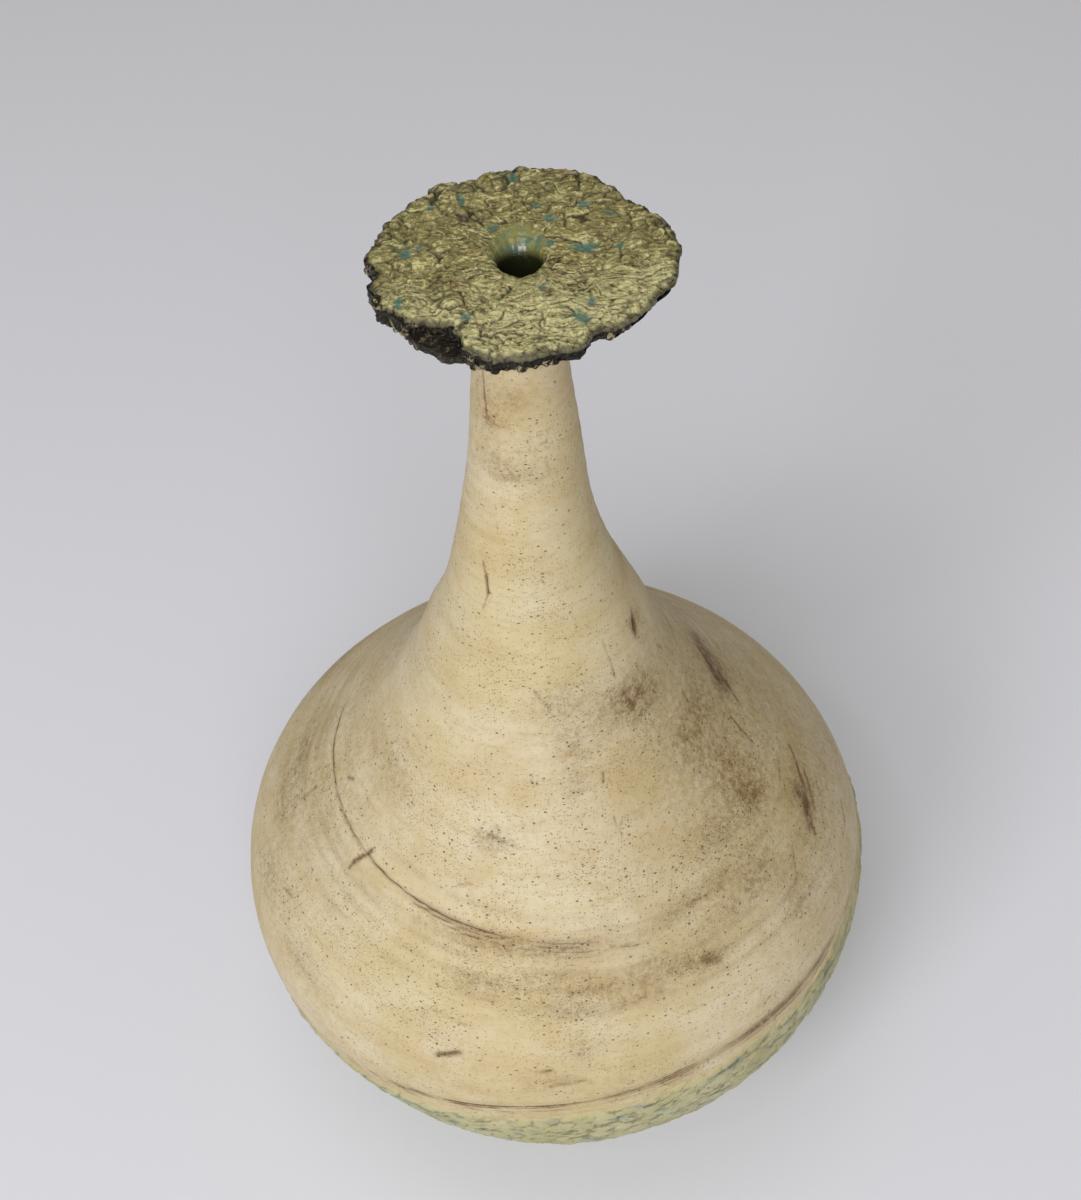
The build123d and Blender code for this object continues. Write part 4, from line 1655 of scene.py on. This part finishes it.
# %% [markdown]
# ## Dark edge and torn clay
# Iron in the glaze turned the torn edge brown-black and shiny. Crumbs of pale glaze and
# clay still sit on it. The underside of the slab is bare clay that darkens to the edge.
# One material with a mask could serve both, but shiny and dry share almost no value, so two
# small ones are easier to read. The mesh says which crumbs are pale, so colour and shape agree.

# %% Dark edge and torn clay
IRON = (0.006, 0.004, 0.002, 1)
RUST = (0.024, 0.014, 0.005, 1)
CRUMB = (0.40, 0.34, 0.18, 1)
SPECKS = (950.0, 3.0, 0.6)
IRON_GRAIN = (780.0, 3.0, 0.6)
DRY_GRAIN = (700.0, 4.0, 0.65)


def iron_edge():
    """Brown-black glaze, shiny on the ledge, with pale crumbs."""
    material, tree, place = new_material("iron_edge")
    drift = use_group(tree, drift_group, Vector=place, Size=90.0)
    colour = lay(tree, IRON, RUST, drift["Cloud"], 0.7)
    specks = between(tree, mottle(tree, place, *SPECKS), 0.47, 0.58)
    colour = lay(tree, colour, CRUMB, times(tree, mask(tree, "fleck"), specks), 0.9)
    dull = between(tree, drift["Wash"], 0.0, 1.0, 0.10, 0.24)
    return dressed(material, {
        "Base Color": colour,
        "Roughness": figure(tree, "MULTIPLY_ADD", mask(tree, "ledge"), -0.04, dull),
        "Specular IOR Level": 0.35,
        "Normal": bump(tree, mottle(tree, place, *IRON_GRAIN), 1.4 * MM, 1.0),
    })


def torn_clay():
    """Bare clay below the disc, washed with iron towards its edge."""
    material, tree, place = new_material("torn_clay")
    drift = use_group(tree, drift_group, Vector=place, Size=40.0)
    pits = use_group(tree, pits_group, Vector=place)["Pits"]
    colour = blend(tree, drift["Wash"], CREAM, TAN)
    colour = lay(tree, colour, PIT, pits, 0.9)
    washed = between(tree, drift["Cloud"], 0.0, 0.8, 0.7, 1.0)
    return dressed(material, {
        "Base Color": lay(tree, colour, IRON, mask(tree, "edge"), washed),
        "Roughness": between(tree, drift["Cloud"], 0.0, 1.0, 0.65, 0.9),
        "Normal": bump(tree, mottle(tree, place, *DRY_GRAIN), 0.6 * MM, 0.4),
    })


dark_edge.data.materials.append(iron_edge())
slab.data.materials.append(torn_clay())
print("edge and slab finished")

# %% [markdown]
# ## Rough green coat
# The lower coat is a dry slip glaze: pale sage over the clay, blue-grey where it sank into
# hollows, with cream showing through at its upper edge. The lumps are real geometry, so the
# colour only has to know how deep a point lies, and the mesh keeps that as a mask. The blue
# patches are noise squeezed in height, which makes them lie round the body like brush strokes.

# %% Rough green coat
SAGE = (0.44, 0.400, 0.190, 1)
MIST = (0.56, 0.520, 0.295, 1)
BLUE_GREY = (0.235, 0.295, 0.250, 1)
MOSS = (0.165, 0.150, 0.060, 1)
BLUE_PATCHES = (105.0, 4.0, 0.65)
PATCH_STRETCH = (1, 1, 2.2)


def green_coat():
    """Dry sage over the clay, blue-grey in patches, mossy in the creases, thin at its upper edge."""
    material, tree, place = new_material("green_coat")
    drift = use_group(tree, drift_group, Vector=place, Size=45.0)
    pits = use_group(tree, pits_group, Vector=place, Spacing=480.0, Width=0.36, Share=0.5)["Pits"]
    hollows = mask(tree, "hollow")
    patch = between(tree, mottle(tree, stretched(tree, place, PATCH_STRETCH), *BLUE_PATCHES), 0.51, 0.61)
    sunk = times(tree, patch, between(tree, hollows, 0.0, 0.5, 0.5, 1.0))
    colour = blend(tree, drift["Wash"], SAGE, MIST)
    colour = lay(tree, colour, BLUE_GREY, sunk, 0.85)
    colour = lay(tree, colour, MOSS, between(tree, hollows, 0.55, 1.0), 0.75)
    colour = lay(tree, colour, PIT, pits, 0.7)
    return dressed(material, {
        "Base Color": lay(tree, colour, CREAM, mask(tree, "edge"), 0.75),
        "Roughness": between(tree, drift["Cloud"], 0.0, 1.0, 0.55, 0.85),
        "Normal": bump(tree, mottle(tree, place, *DRY_GRAIN), 0.8 * MM, 0.5),
    })


rough.data.materials.append(green_coat())
print("green coat on", rough.name)

# %% [markdown]
# ## What stays as built
# The foot ring and the slip rings have the right shape already, so they keep their solids
# and only get their clay. A node that was imported brings a plain material, which is
# replaced in its slot. The floor's paint is matt, because a sheen would mirror the panels.

# %% Nodes that stay
STAYING = {"foot_ring": foot_clay, "foot_slip": slip_clay, "rim_slip": slip_clay}
for name, material in STAYING.items():
    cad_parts[name].data.materials.clear()
    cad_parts[name].data.materials.append(material)
print("kept", list(STAYING))

# %% Floor paint
FLOOR_LIFT = 1.04
FLOOR_CLOUDS = (2.0, 2.0, 0.5)


def floor_paint():
    """Matt pale paint, a little lighter in slow clouds."""
    material, tree, place = new_material("floor_paint")
    lighter = tuple(min(1.0, c * FLOOR_LIFT) for c in FLOOR_COLOUR[:3]) + (1,)
    shade = mottle(tree, place, *FLOOR_CLOUDS)
    return dressed(material, {"Base Color": blend(tree, shade, FLOOR_COLOUR, lighter), "Roughness": 0.9})


floor.data.materials.append(floor_paint())
print("floor painted")
